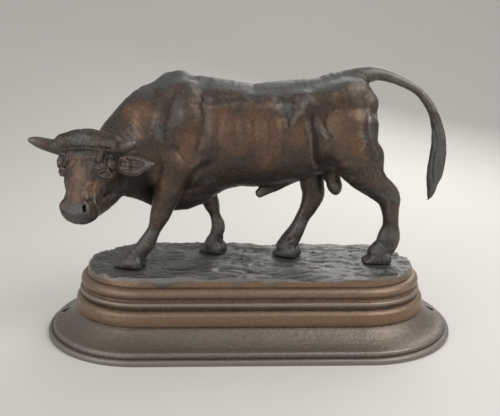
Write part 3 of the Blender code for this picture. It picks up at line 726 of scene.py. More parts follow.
def legs():
    """Four legs, each one sweep from the body to the pastern."""
    near_fore = [(-60, -22, 86, 15, 11), (-66, -22, 66, 12.5, 9.5), (-71.3, -22, 50, 9, 7.5),
                 (-74, -22, 42, 7.8, 6.8), (-78.5, -21.5, 31.5, 5.4, 5.2), (-84.5, -21, 20, 6.6, 6.5),
                 (-90, -20.5, 13, 6.8, 6.5), (-95, -19.5, 7, 8, 8)]
    far_fore = [(-46, 22, 86, 15, 11), (-41, 21, 66, 11, 9.5), (-36.5, 20, 50, 7.8, 7.5),
                (-34, 20, 43, 6.8, 6.8), (-31, 20, 33, 4.6, 5), (-28.2, 20, 22.5, 6.2, 6.3),
                (-31, 20, 14, 5.4, 6.2), (-33, 20.5, 7, 7.6, 8)]
    near_hind = [(76, -18, 116, 22, 12), (77, -20, 96, 21, 13), (89, -19, 77, 15, 10),
                 (102, -16, 65, 11.2, 7.5), (111, -14, 56, 9.5, 6.5), (113.5, -13, 44, 7.1, 5.5),
                 (115, -11, 33, 6.8, 5.5), (114.6, -10, 22.5, 9.4, 7), (112.5, -9, 14, 9.5, 6.5),
                 (106, -8.5, 7, 9, 8)]
    far_hind = [(66, 18, 116, 22, 12), (57, 19, 96, 20, 13), (52, 18, 77, 13, 10),
                (52, 16, 64, 10.5, 8), (53.7, 15, 53, 9.6, 7), (49.8, 14, 42, 7.4, 5.8),
                (44.6, 14, 32, 6.1, 5.5), (40.3, 13.5, 22.5, 6.9, 7), (35, 12.5, 14, 8, 6.5),
                (30.5, 11, 7, 8.5, 8)]
    buttock = Egg((95.5, -16, 89), (9, 8, 12), 6)
    return [Sweep(leg, 4, up=(1, 0, 0.3)) for leg in (near_fore, far_fore, near_hind, far_hind)] + [buttock]


def hoof_marks():
    """Heel and toe of each hoof on the ground, from the front pair back."""
    return {
        "near_fore": ((-88.0, -24.2), (-110.7, -14.0)),
        "far_fore": ((-23.9, 16.4), (-42.0, 28.5)),
        "near_hind": ((117.0, -9.0), (94.0, -7.5)),
        "far_hind": ((40.5, 4.9), (22.1, 17.4)),
    }


def hooves():
    """Cloven hooves: two claws side by side from heel to toe, and two dewclaws above the heel."""
    forms = []
    for heel, toe in hoof_marks().values():
        heel, toe = np.array((*heel, 0.0)), np.array((*toe, 0.0))
        ahead = (toe - heel) / np.linalg.norm(toe - heel)
        aside = np.array((-ahead[1], ahead[0], 0.0))
        for side in (-1, 1):
            back = heel + ahead * 4 + aside * side * 4.0
            front = toe - ahead * 4 + aside * side * 4.0
            middle = (back + front) / 2
            claw = [(*(back + (0, 0, 3.0)), 6.5, 4.6), (*(middle + (0, 0, 1.8)), 7.0, 5.2),
                    (*(front + (0, 0, -0.5)), 4.6, 4.4)]
            forms.append(Sweep(claw, 1.2))
            dewclaw = heel + ahead * 5.0 + aside * side * 3.0 + np.array((0, 0, 12.5))
            forms.append(Egg(dewclaw, (2.6, 1.8, 3.4), 2.5))
    return forms


# The tail's stations from the rump to the tip, and the number of the one where its tuft starts
TAIL = [(77, 0, 149, 9, 9), (89, 0, 153.4, 7.2, 7.5), (98, 0, 154.4, 5.5, 5.8), (107, 0, 153, 4.7, 4.8),
        (119.6, 0, 148.7, 4.1, 4.2), (132.2, 0, 142, 3.4, 3.6), (141.4, 0, 132.8, 3.6, 3.6),
        (147.1, 0, 123.7, 3.9, 3.9), (151.3, 0, 113, 4.9, 4.4), (153.7, 0, 100.8, 6.0, 5.2),
        (153.8, 0, 89, 6.9, 5.9), (152.7, 0, 76, 6.8, 5.9), (151.4, 0, 66.1, 5.0, 4.5),
        (150.2, 0, 57, 3.2, 3.0), (149.0, 0, 52.5, 1.3, 1.3)]
TUFT_START = 7


def tail_strands(hair_depth):
    """Long grooves between the strands of the tuft."""
    marks = []
    strand_count = 9
    for number in range(strand_count):
        angle = 2 * math.pi * number / strand_count
        rows = []
        for k, (x, y, z, up, across) in enumerate(TAIL[TUFT_START:]):
            twist = angle + 0.16 * k + 0.25 * math.sin(1.7 * k + number)
            rows.append((x + 0.9 * up * math.cos(twist), y + across * math.sin(twist),
                         z + 0.35 * up * math.cos(twist)))
        marks.append(Stroke(rows, 1.0, hair_depth * (1.1 if number % 2 else 0.7)))
    return marks


def underparts():
    """Sheath and scrotum."""
    forms = [Sweep([(36, 0, 75.5, 8.5, 8), (20, 0, 65, 6.2, 5), (6, 0, 56.4, 3.8, 3)], 3),
             Egg((66, 2, 76), (8, 8, 12), 4)]
    return forms + [Egg((69, 3 + side * 3.5, 64), (6, 5, 9), 2.5, -10) for side in (-1, 1)]


# The poll's place in the bull's units, and how far the head is turned aside, dropped and tilted, in degrees
HEAD_ORIGIN = np.array((-117.3, -46.3, 103.1))
HEAD_TURN = 17.7
HEAD_DROP = 54.5
HEAD_TILT = 0.6


def head_axes():
    """Unit vectors down the nose, to the bull's left and out of its forehead."""
    turn, drop, tilt = (math.radians(angle) for angle in (HEAD_TURN, HEAD_DROP, HEAD_TILT))
    ahead = np.array((-math.sin(turn), -math.cos(turn), 0.0))
    up = np.array((0.0, 0.0, 1.0))
    nose = ahead * math.cos(drop) - up * math.sin(drop)
    left = np.array((math.cos(turn), -math.sin(turn), 0.0))
    brow = ahead * math.sin(drop) + up * math.cos(drop)
    rolled = []
    for axis in (nose, left, brow):
        rolled.append(axis * math.cos(tilt) + np.cross(ahead, axis) * math.sin(tilt)
                      + ahead * (ahead @ axis) * (1 - math.cos(tilt)))
    return np.array(rolled)


def on_head(rows):
    """Stations given down the nose, to the left and out of the forehead, put in the bull's frame."""
    axes = head_axes()
    return [(*(HEAD_ORIGIN + np.array(row[:3]) @ axes), *row[3:]) for row in rows]


def head_egg(centre, radii, blend, cut=False):
    """An egg on the head's own axes."""
    return Egg(on_head([centre])[0], radii, blend, axes=head_axes(), cut=cut)


def skull():
    """Skull, jaw, cheeks and the hair on poll and forehead."""
    brow = head_axes()[2]
    face = [(2, 0, -6, 13, 16), (12, 0, -6, 15, 20.3), (22, 0, -6, 14.5, 19.6), (31, 0, -6, 12, 15.3),
            (39, 0, -5.5, 10.5, 12), (46, 0, -6, 9.8, 13), (51.5, 0, -7, 9.8, 14.3)]
    jaw = [(12, 3, -27, 10.5, 11.5), (23, 2, -31, 10.5, 11.5), (33, 0, -27.5, 10, 10.5),
           (41, 0, -21.5, 8.5, 9), (50, -0.5, -15, 5.3, 9)]
    poll = [(4.7, -20, 5.7, 7.2, 7.2), (3.4, -10, 7.3, 7.3, 8), (2.4, 0, 7.8, 7.6, 8),
            (3.4, 10, 6.6, 6.9, 8), (4.7, 20, 5.6, 7.2, 7.2)]
    fringe = [(13, -11, 6.0, 3.8, 6), (15, 0, 7.5, 4.2, 6), (13, 11, 6.0, 3.8, 6)]
    forms = [Sweep(on_head(face), 3, up=brow), Sweep(on_head(jaw), 4, up=brow)]
    forms += [head_egg((20, side * 12, -15), (13, 6.5, 11), 3) for side in (-1, 1)]
    return forms + [Sweep(on_head(poll), 3, up=brow), Sweep(on_head(fringe), 2, up=brow)]


def features(side):
    """Brow, eye, cheek crest and nostril of one side of the face."""
    brow = head_axes()[2]
    ridge = [(13, side * 18.4, 1.6, 3.6, 4), (18, side * 19.8, 2.2, 3.8, 3.6),
             (23.5, side * 19.6, 1.6, 2.2, 2.2)]
    upper_lid = [(26.4, side * 13.0, 3.2, 0.6, 0.6), (24.4, side * 15.6, 3.9, 0.9, 0.9),
                 (24.0, side * 18.6, 2.8, 1.0, 1.0), (26.0, side * 21.4, -0.6, 0.7, 0.7)]
    lower_lid = [(26.8, side * 13.2, 3.0, 0.5, 0.5), (28.2, side * 15.8, 2.3, 0.6, 0.6),
                 (28.4, side * 18.4, 0.6, 0.6, 0.6), (26.6, side * 21.2, -1.2, 0.5, 0.5)]
    crest = [(31, side * 13, -2.5, 2, 2), (37, side * 11, -4, 2, 2), (43, side * 10, -5.5, 1.2, 1.2)]
    forms = [
        Sweep(on_head(ridge), 2.5, up=brow),
        head_egg((26.2, side * 19.4, 1.8), (3.8, 3.6, 3.4), 1.4, cut=True),
        head_egg((26.2, side * 16.8, 0.2), (2.5, 3.2, 2.8), 0.5),
        Sweep(on_head(upper_lid), 0.9, up=brow),
        Sweep(on_head(lower_lid), 0.9, up=brow),
        Sweep(on_head(crest), 4, up=brow),
        head_egg((51, side * 8.6, -1.5), (5.4, 4.2, 4.6), 2.5),
    ]
    if side < 0:
        return forms + [head_egg((53.5, -12.0, -1.5), (2.8, 1.6, 2.4), 1.0, cut=True)]
    rim = [(48.2, 8.0, 3.4, 0.6, 0.6), (50.8, 10.8, 2.6, 0.8, 0.8), (54.4, 11.6, 0.2, 0.8, 0.8),
           (57, 10.2, -2.4, 0.6, 0.6)]
    return forms + [
        Sweep(on_head(rim), 1.8, up=brow),
        head_egg((52.8, 8.4, 1.2), (2.9, 1.6, 2.3), 1.0, cut=True),
    ]


def horn_and_ear(side):
    """A horn that sweeps out and forward, and a broad ear below it."""
    brow, nose = head_axes()[2], head_axes()[0]
    horn = [(7, side * 17, 2, 6.0, 6.0), (8, side * 24, 5, 5.6, 5.6), (8.6, side * 32, 10, 4.6, 4.6),
            (8.6, side * 37.5, 14.0, 3.4, 3.4), (8.8, side * 40, 16, 2.2, 2.2)]
    ear = [(11, side * 17, -8, 5, 3.5), (11, side * 22, -11, 8.5, 3), (9.5, side * 28, -15, 9, 2.8),
           (6.5, side * 34, -19, 5.5, 2.0), (4.5, side * 39, -22.5, 1.6, 1.2)]
    hollow = [(13, side * 23, -8.0, 5.2, 1.6), (11.5, side * 28, -11.4, 5.8, 1.6),
              (8, side * 34, -16.0, 2.6, 0.8)]
    return [
        Sweep(on_head(horn), 1.5, up=brow),
        Sweep(on_head(ear), 1.5, up=nose),
        Sweep(on_head(hollow), 0.8, up=nose, cut=True),
    ]


def body_strokes(side):
    """Creases, ridges and ribs of one flank: x and z of each path, then its width and depth."""
    shoulder = [
        ([(-37, 146), (-40, 130), (-38, 116), (-43, 100), (-53, 90)], 4.4, 1.5),
        ([(-52, 148), (-60, 133), (-66, 117), (-69, 101)], 4.2, 1.6),
        ([(-62, 150), (-70, 138), (-75, 121), (-78, 103)], 3.4, -0.8),
        ([(-55, 128), (-54, 119), (-57, 110)], 3.6, -0.9),
        ([(-59, 98), (-57, 94), (-52, 85)], 2.4, 0.8),
        ([(-30, 86), (-40, 82), (-48, 74), (-57, 62)], 2.8, 1.4),
        ([(-33, 92), (-43, 88), (-50, 81)], 2.6, -0.5),
        ([(-70, 94), (-68, 80), (-72, 66)], 3.0, -0.7),
    ]
    ribcage = [
        ([(-41, 136), (-36, 132), (-31, 131), (-25, 132.5), (-18, 134), (-3, 135.5), (14, 135)], 1.6, 0.8),
        ([(-36, 129), (-28, 128), (-18, 129), (-3, 130), (12, 128)], 3.6, -0.6),
        ([(14, 134), (24, 133), (34, 133)], 3.0, 1.8),
        ([(18, 130), (26, 127), (32, 128)], 4.6, 2.2),
        ([(22, 124), (26, 119), (27, 112)], 3.8, 1.4),
        ([(38, 135), (37, 127), (32, 120), (28, 112)], 2.0, -0.8),
    ]
    haunch = [
        ([(37, 127), (39, 118), (43, 107), (44.5, 97), (46, 88), (49, 80)], 2.2, -0.6),
        ([(43.5, 124), (45, 113), (49, 101), (50, 88), (54, 78)], 3.2, 1.7),
        ([(50, 124), (50, 116), (54, 109), (58, 104)], 2.4, -0.9),
        ([(53, 119), (57, 110), (62, 104)], 2.4, 0.8),
        ([(44, 134), (52, 132), (62, 129), (78, 127), (88, 128)], 2.6, 0.5),
        ([(90, 133), (88.5, 120), (88, 111), (92, 101), (96, 92), (98, 83)], 2.4, -0.5),
        ([(85, 130), (84, 112), (89, 97), (92, 84)], 3.2, 0.9),
        ([(80, 96), (84, 99), (87, 104)], 1.0, -0.5),
        ([(57, 92), (68, 80), (82, 76)], 3.4, 1.0),
        ([(110, 70), (103, 78), (99, 86)], 2.6, 1.2),
        ([(101, 62), (108, 56), (110, 46), (111, 34)], 1.8, -0.5),
    ]
    ribs = [([(x, 122), (x + lean, 104), (x, 88)], 2.8, 0.8)
            for x, lean in ((-26, -2), (-15, 1), (-3, 3), (9, 3), (20, 4))]
    return [Stroke([(x, 0, z) for x, z in path], width, depth, side=side)
            for path, width, depth in shoulder + ribcage + haunch + ribs]


def face_strokes(side):
    """Mouth, tear line, brow wrinkles and cheek folds of one side of the face."""
    lines = [
        ([(58, 4, -13), (55, 9.5, -12.5), (49, 13, -12), (41, 12, -13)], 1.2, 1.3),
        ([(33, 8, 5), (37, 6.8, 4.5), (42, 6.4, 4), (47, 7.4, 3.5)], 1.1, -0.8),
        ([(31, 11.5, 3), (36, 9.5, 1.5), (42, 9, 0), (46, 10.5, -1)], 1.5, 1.1),
        ([(40, 11.5, -1), (44, 11.8, -1.8), (48, 13.4, -5), (50, 14.2, -8)], 1.0, -0.8),
        ([(32, 15.8, -3), (35, 15.6, -6), (39, 14.5, -7), (43, 13, -6)], 0.9, -1.2),
        ([(33, 17.6, -7), (37, 16.8, -9.5), (42, 14.6, -9.5)], 1.3, 0.9),
        ([(21.0, 13, 7), (21.2, 17.5, 5.5), (23.0, 21.5, 2.5)], 0.8, 0.6),
        ([(18.0, 14, 8), (18.5, 18.5, 6), (21, 23, 2)], 0.8, 0.5),
        ([(22, 10.5, 7), (24.5, 13, 5.4)], 0.8, -0.6),
        ([(29.6, 20, -1.5), (31.2, 17.4, 0.5), (31.2, 14.5, 2)], 0.9, 0.6),
        ([(24, 19, -17), (30, 18, -22), (36, 13, -24)], 1.6, -0.9),
        ([(20, 14, -31), (28, 12.7, -34), (34, 10, -32)], 1.4, -0.8),
    ]
    marks = []
    for rows, width, depth in lines:
        marks.append(Stroke(np.array(on_head([(a, side * b, c) for a, b, c in rows])), width, depth))
    return marks


def locks_of_hair(hair_depth):
    """The ends of the locks: short tufts that stand off in a row under the poll and low on the forehead."""
    rows = [
        (4.5, 9.6, 12.2, 20.5, 15, 0.9),
        (16.5, 23.0, 8.2, 16.0, 11, 1.1),
        (22.0, 28.5, 7.6, 5.0, 4, 0.9),
    ]
    marks = []
    for start, end, height, half_width, count, share in rows:
        for number in range(count):
            across = half_width * (2 * number / (count - 1) - 1)
            sway = 0.7 * math.sin(2.4 * number + start)
            reach = end + 1.1 * math.sin(1.9 * number + end) - 0.004 * across * across
            fall = height - 0.006 * across * across
            lock = [(start, across * 0.96, fall), ((start + reach) / 2, across + sway, fall),
                    (reach, across * 1.03 + 1.4 * sway, fall - 0.6)]
            marks.append(Stroke(on_head(lock), 0.8, -hair_depth * share * 1.1))
    under_poll = [(10.6, -19, 9), (11.2, -8, 11), (11.2, 4, 11.2), (10.8, 14, 10.4), (10, 20, 9)]
    marks.append(Stroke(on_head(under_poll), 1.1, hair_depth * 1.5))
    return marks


def hair(hair_depth):
    """Combed hair on poll and forehead, and in the ears."""
    axes = head_axes()
    poll = on_head([(2, 0, 8)])[0]
    forehead = on_head([(17, 0, 8)])[0]
    combs = [Comb(poll, (13, 27, 16), axes, 2.0, hair_depth * 0.8, row=7.0, fan=0.012),
             Comb(forehead, (9, 17, 9), axes, 2.2, hair_depth * 0.55, row=6.0, fan=-0.01)]
    for side in (-1, 1):
        ear = on_head([(10, side * 27, -9)])[0]
        combs.append(Comb(ear, (9, 9, 6.5), axes[[1, 0, 2]], 2.6, hair_depth * 0.6, row=7.0))
    return combs + locks_of_hair(hair_depth)


def bull_figure(hair_depth):
    """Every form and stroke, in the order in which they are laid on."""
    forms = trunk() + neck() + legs() + hooves() + [Sweep(TAIL, 3, up=(1, 0, 1))] + underparts() + skull()
    marks = hair(hair_depth) + tail_strands(hair_depth)
    fold_where_neck_turns = [(-86, -31, 126), (-87, -31, 110), (-85, -26, 92), (-79, -21, 74)]
    marks.append(Stroke(fold_where_neck_turns, 4.4, 1.4))
    for side in (-1, 1):
        forms += features(side) + horn_and_ear(side)
        marks += body_strokes(side) + face_strokes(side)
    return {"forms": forms, "strokes": marks}


def tool_marks(mesh, depth):
    """Soft unevenness of a hand-worked model."""
    points, normals, _ = mesh_arrays(mesh)
    for k, place in enumerate(points):
        broad = noise.noise(Vector(place) * 0.11)
        small = noise.noise(Vector(place) * 0.33 + Vector((31.7, 0, 0)))
        points[k] = place + normals[k] * depth * (0.9 * broad + 0.5 * small)
    mesh.vertices.foreach_set("co", points.ravel())
    mesh.update()


def spots(points, places):
    """How strongly each point lies in one of the given round places: x, y, z, radius, strength."""
    value = np.zeros(len(points))
    for x, y, z, radius, strength in places:
        away = np.linalg.norm((points - np.array((x, y, z))) / radius, axis=1)
        value = np.maximum(value, strength * np.exp(-away ** 2))
    return value


def paint_patina(mesh):
    """Where the bull is rubbed red-brown and where it is grey-green."""
    points, normals, edges = mesh_arrays(mesh)
    rubbed = []
    weathered = [(154, 0, 80, 58, 0.9), (110, 0, 152, 30, 0.8)]
    for side in (-1, 1):
        rubbed += [
            (-88, side * 32, 124, 12, 0.9), (-48, side * 25, 106, 13, 0.8), (-55, side * 28, 92, 12, 0.7),
            (-20, side * 30, 113, 20, 0.8), (4, side * 30, 113, 22, 0.85), (10, side * 30, 97, 16, 0.7),
            (34, side * 26, 106, 11, 0.75), (66, side * 28, 116, 18, 0.75), (74, side * 30, 100, 18, 0.75),
            (-70, side * 28, 72, 12, 0.8), (-74, side * 26, 46, 8, 0.5), (96, side * 24, 74, 10, 0.6)]
        weathered += [
            (26, side * 26, 126, 9, 0.6), (-56, side * 30, 120, 9, 0.4), (-74, side * 30, 112, 13, 0.35),
            (91, side * 22, 104, 11, 0.6), (45, side * 26, 100, 5, 0.5), (108, side * 14, 56, 12, 0.6)]
    rubbed += [(*on_head([place])[0], radius, share) for place, radius, share in (
        ((36, 10, 2), 6, 1.0), ((33, 0, 6), 9, 0.7), ((44, 1, 3), 8, 0.55), ((20, -4, 9), 8, 0.45))]
    weathered += [(*on_head([place])[0], radius, share) for place, radius, share in (
        ((2, 0, 8), 17, 0.6), ((6, 26, 8), 9, 0.4), ((6, -28, 6), 14, 0.7), ((56, 0, -6), 12, 0.8),
        ((30, 14, -22), 13, 0.55))]
    low = np.clip((50 - points[:, 2]) / 24, 0, 1) * 0.6
    # Upward-facing skin high on the back is painted grey-green: patina, and a painted reflection of the pale
    # sky
    top = np.clip((normals[:, 2] - 0.2) / 0.7, 0, 1) * np.clip((points[:, 2] - 124) / 20, 0, 1)
    belly = np.clip((-normals[:, 2] - 0.1) / 0.6, 0, 1) * 0.4
    green = np.maximum.reduce([spots(points, weathered), low, top, belly])
    paint(mesh, "rubbed", spread(np.clip(spots(points, rubbed) - green * 0.6, 0, 1), edges, 2))
    paint(mesh, "weathered", spread(green, edges, 2))


def fine_places():
    """Balls in the bull's frame where its skin is cut finer: face, ears, tuft and feet."""
    places = [(on_head([place])[0], radius) for place, radius in (
        ((12, 0, 0), 31.0), ((42, 0, -8), 25.0), ((9, 28, -14), 14.0), ((9, -28, -14), 14.0))]
    places.append(((152, 0, 86), 38.0))
    for heel, toe in hoof_marks().values():
        places.append((((heel[0] + toe[0]) / 2, (heel[1] + toe[1]) / 2, 4.0), 16.0))
    return places


def make_bull(settings, finish):
    """Work the bull's skin, paint it and set it on the base."""
    grain = settings.grain * 1.0
    skin = fuse(bull_figure(settings.hair_depth), "bull_casting", grain, fine_places())
    paint_patina(skin)
    tool_marks(skin, settings.tool_marks)
    paint_relief(skin, 5, 0.5)
    skin.transform(Matrix.Translation((0, 0, GROUND)) @ Matrix.Scale(UNIT, 4))
    keep_inside(skin, BULL_LOW, BULL_HIGH)
    skin.shade_smooth()
    skin.materials.clear()
    skin.materials.append(bull_bronze(finish))
    bull = bpy.data.objects.new("bull_casting", skin)
    bpy.context.scene.collection.objects.link(bull)
    return bull


# The base


# In metres: how close two vertices of the swept base are when they are welded, and the drill's length
WELD = 0.00006
DRILL_LENGTH = 0.1


def base_profile():
    """Inset and height of every moulding, from the middle of the underside to the edge of the ground."""
    rise, run = FLANGE_HIGH - EDGE_HIGH, FLANGE_IN - EDGE_IN
    rim = [(0.0, 0.0), (0.0, 0.55 * RIM_HIGH), (0.5, 0.86 * RIM_HIGH), (1.7, RIM_HIGH),
           (3.4, RIM_HIGH + 0.2), (4.0, EDGE_HIGH - 2.2), (4.8, EDGE_HIGH - 0.6), (6.4, EDGE_HIGH)]
    flange = [(EDGE_IN + run * t, EDGE_HIGH + rise * (0.45 * t + 0.55 * t ** 2.4))
              for t in (0.2, 0.4, 0.6, 0.8, 0.97)]
    wall = [(FLANGE_IN + 1.0, FLANGE_HIGH + 0.4), (FLANGE_IN + 1.0, FLANGE_HIGH + 1.1),
            (FLANGE_IN + 0.2, FLANGE_HIGH + 1.8), (FLANGE_IN, 0.55 * FLANGE_HIGH + 0.45 * WALL_HIGH),
            (FLANGE_IN + 0.7, WALL_HIGH - 2.2), (WALL_IN - 1.2, WALL_HIGH - 0.6), (WALL_IN, WALL_HIGH)]
    torus = [(WALL_IN + 1.5, WALL_HIGH + 0.8), (WALL_IN + 1.4, WALL_HIGH + 2.6),
             (WALL_IN + 0.4, WALL_HIGH + 3.6), (WALL_IN + 0.2, WALL_HIGH + 5.2),
             (WALL_IN + 0.8, WALL_HIGH + 6.4), (LEDGE_IN - 2.2, LEDGE_HIGH - 9.8),
             (LEDGE_IN - 1.8, LEDGE_HIGH - 8.0), (LEDGE_IN - 3.0, LEDGE_HIGH - 6.2),
             (LEDGE_IN - 3.5, LEDGE_HIGH - 4.3), (LEDGE_IN - 2.9, LEDGE_HIGH - 2.2),
             (LEDGE_IN - 1.3, LEDGE_HIGH - 0.5), (LEDGE_IN, LEDGE_HIGH)]
    ledge = [(GROUND_IN - 1.4, LEDGE_HIGH + 0.4), (GROUND_IN - 1.2, LEDGE_HIGH + 2.4),
             (GROUND_IN - 0.6, GROUND_HIGH - 1.6), (GROUND_IN, GROUND_HIGH)]
    return rim + flange + wall + torus + ledge


def dense_profile(points, spacing, depth):
    """The profile with evenly spaced points, closed through the middle of the base above and below."""
    dense = []
    for a, b in zip(points, points[1:]):
        count = max(1, round(math.dist(a, b) / spacing))
        dense += [(a[0] + (b[0] - a[0]) * k / count, a[1] + (b[1] - a[1]) * k / count) for k in range(count)]
    dense.append(points[-1])
    inner = depth / 2
    start, height = points[-1]
    count = round((inner - start) / (spacing * 1.15))
    dense += [(start + (inner - start) * k / count, height) for k in range(1, count + 1)]
    return [(inner, 0.0), (inner * 0.5, 0.0)] + dense


def outline_points(length, depth, step):
    """The base's outline, two half circles joined by straights, evenly stepped and alike on all quarters."""
    radius = depth / 2
    reach = (length - depth) / 2
    arc_steps = 2 * round(math.pi * radius / step / 2)
    straight_steps = 2 * round(2 * reach / step / 2)
    ring = []
    for end in (1, -1):
        for k in range(arc_steps):
            angle = math.pi * (k / arc_steps - 0.5)
            ring.append((end * (reach + radius * math.cos(angle)), end * radius * math.sin(angle)))
        for k in range(straight_steps):
            ring.append((end * (reach - 2 * reach * k / straight_steps), end * radius))
    return ring


def guide_curve(name, points, cyclic):
    """A poly curve through the points, for the base's tree."""
    data = bpy.data.curves.new(name, "CURVE")
    data.dimensions = "3D"
    spline = data.splines.new("POLY")
    spline.points.add(len(points) - 1)
    spline.points.foreach_set("co", [value for x, y in points for value in (x, y, 0.0, 1.0)])
    spline.use_cyclic_u = cyclic
    guide = bpy.data.objects.new(name, data)
    bpy.context.scene.collection.objects.link(guide)
    return guide


def moulded_base_tree():
    """A profile swept round an outline, drilled for two screws."""
    tree = bpy.data.node_groups.new("Moulded base", "GeometryNodeTree")
    tree.interface.new_socket("Geometry", in_out="INPUT", socket_type="NodeSocketGeometry")
    for label, kind in (("Outline", "NodeSocketObject"), ("Profile", "NodeSocketObject"),
                        ("Hole place", "NodeSocketFloat"), ("Hole radius", "NodeSocketFloat"),
                        ("Hole height", "NodeSocketFloat"), ("Material", "NodeSocketMaterial")):
        tree.interface.new_socket(label, in_out="INPUT", socket_type=kind)
    tree.interface.new_socket("Geometry", in_out="OUTPUT", socket_type="NodeSocketGeometry")
    nodes = Nodes(tree)
    given = nodes.add("NodeGroupInput").outputs
    outline = nodes.result("GeometryNodeObjectInfo", "Geometry", {"Object": given["Outline"]})
    profile = nodes.result("GeometryNodeObjectInfo", "Geometry", {"Object": given["Profile"]})
    upright = nodes.result("GeometryNodeSetCurveNormal", "Curve", {"Curve": outline}, mode="Z_UP")
    swept = nodes.result("GeometryNodeCurveToMesh", "Mesh", {"Curve": upright, "Profile Curve": profile})
    closed = nodes.result("GeometryNodeMergeByDistance", "Geometry", {"Geometry": swept, "Distance": WELD})
    back = nodes.math("MULTIPLY", given["Hole place"], -1.0)
    ends = [nodes.result("ShaderNodeCombineXYZ", "Vector", {"X": x}) for x in (back, given["Hole place"])]
    places = nodes.result("GeometryNodeMeshLine", "Mesh", {
        "Count": 2, "Start Location": ends[0], "Offset": ends[1]}, mode="END_POINTS")
    drill = nodes.result("GeometryNodeMeshCylinder", "Mesh", {
        "Vertices": 40, "Radius": given["Hole radius"], "Depth": given["Hole height"]})
    drills = nodes.result("GeometryNodeInstanceOnPoints", "Instances", {"Points": places, "Instance": drill})
    drills = nodes.result("GeometryNodeRealizeInstances", "Geometry", {"Geometry": drills})
    drilled = nodes.result("GeometryNodeMeshBoolean", "Mesh", {"Mesh 1": closed, "Mesh 2": drills},
                           operation="DIFFERENCE", solver="EXACT")
    whole = nodes.result("GeometryNodeRealizeInstances", "Geometry", {"Geometry": drilled})
    finished = nodes.result("GeometryNodeSetMaterial", "Geometry", {
        "Geometry": whole, "Material": given["Material"]})
    nodes.add("NodeGroupOutput", {"Geometry": finished})
    return tree


def run_tree(name, tree, values):
    """One mesh made by a tree with its named inputs set."""
    carrier = bpy.data.objects.new(name, bpy.data.meshes.new(name))
    bpy.context.scene.collection.objects.link(carrier)
    modifier = carrier.modifiers.new(tree.name, "NODES")
    modifier.node_group = tree
    sockets = {item.name: item.identifier for item in tree.interface.items_tree if item.in_out == "INPUT"}
    for label, value in values.items():
        modifier[sockets[label]] = value
    depsgraph = bpy.context.evaluated_depsgraph_get()
    mesh = bpy.data.meshes.new_from_object(carrier.evaluated_get(depsgraph))
    bpy.data.objects.remove(carrier, do_unlink=True)
    return mesh


def trodden_earth(u, v, detail):
    """Height of the earth in mm: the broad lie of the ground, and scratches and ridges along it."""
    ridges = 0.9 * math.sin(0.21 * v + 1.3 * math.sin(0.045 * u) + 0.02 * u)
    ripples = 0.6 * math.sin(0.16 * u - 0.33 * v + 1.1 * math.sin(0.12 * v))
    lumps = 0.7 * math.sin(0.085 * u + 0.9) * math.cos(0.10 * v - 0.4)
    mounds = (1.6 * math.exp(-((u + 32.0) ** 2 + (v + 12.0) ** 2) / 110.0)
              + 1.8 * math.exp(-((u - 68.0) ** 2 + (v - 2.0) ** 2) / 160.0))
    warp = 9.0 * noise.noise(Vector((u * 0.022, v * 0.04, 3.0)))
    straw = 1 - abs(noise.noise(Vector((u * 0.020 + v * 0.02, (v + warp) * 0.17, 7.0)))) * 2
    scratch = 1 - abs(noise.noise(Vector((u * 0.045 - v * 0.03, (v - warp) * 0.40, 11.0)))) * 2
    grit = noise.noise(Vector((u * 0.4, v * 0.6, 5.0)))
    pebble = 2.2 * math.exp(-((u + 33.0) ** 2 + (v + 30.0) ** 2) / 14.0)
    fine = detail * (1.3 * straw ** 4 + 0.6 * scratch ** 4 + 0.16 * grit - 0.5) + pebble
    return ridges + ripples + lumps + mounds + 0.3, fine


def model_ground(mesh, settings):
    """Give the top of the base its earth, and the walls the unevenness of a casting."""
    points, normals, edges = mesh_arrays(mesh)
    top = GROUND - 0.3 * MM
    half = settings.depth / 2
    reach = (settings.length - settings.depth) / 2
    hooves_at = [(np.array(heel) + np.array(toe)) / 2 * UNIT for heel, toe in hoof_marks().values()]
    trodden = 18.0 * UNIT
    ledge = (LEDGE_HIGH + 0.3) * MM
    earth = np.zeros(len(points))
    for k, (x, y, z) in enumerate(points):
        out = math.hypot(max(abs(x) - reach, 0.0), y)
        inset = half - out
        if z > top - 0.2 * MM and inset > (GROUND_IN - 0.1) * MM:
            level = 0.0
            for hoof_x, hoof_y in hooves_at:
                away = math.hypot(x - hoof_x, y - hoof_y) / trodden
                level = max(level, math.exp(-max(0.0, away - 0.75) ** 2 * 14.0))
            broad, fine = trodden_earth(x / MM, y / MM, settings.relief / MM)
            rise = (1 - level) * broad + fine * (1 - 0.75 * level) + 0.7 * level
            points[k][2] = z + MM * rise
            earth[k] = 1.0
        elif z > 2.0 * MM:
            wave = noise.noise(Vector((x, y, z)) / MM * 0.045)
            dent = noise.noise(Vector((x, y, z)) / MM * 0.22 + Vector((9.0, 0, 0)))
            points[k] += normals[k] * MM * (0.22 * wave + 0.10 * dent)
            if z > ledge:
                drip = noise.noise(Vector((x / MM * 0.07, y / MM * 0.07, 2.0)))
                share = (z - ledge) / (GROUND_HIGH * MM - ledge)
                points[k] += Vector(normals[k]) * MM * (1.3 * drip * share)
                earth[k] = min(1.0, max(0.0, (share - 0.8 + 1.1 * drip) * 5.0))
    mesh.vertices.foreach_set("co", points.ravel())
    mesh.update()
    paint(mesh, "earth", spread(earth, edges, 2))


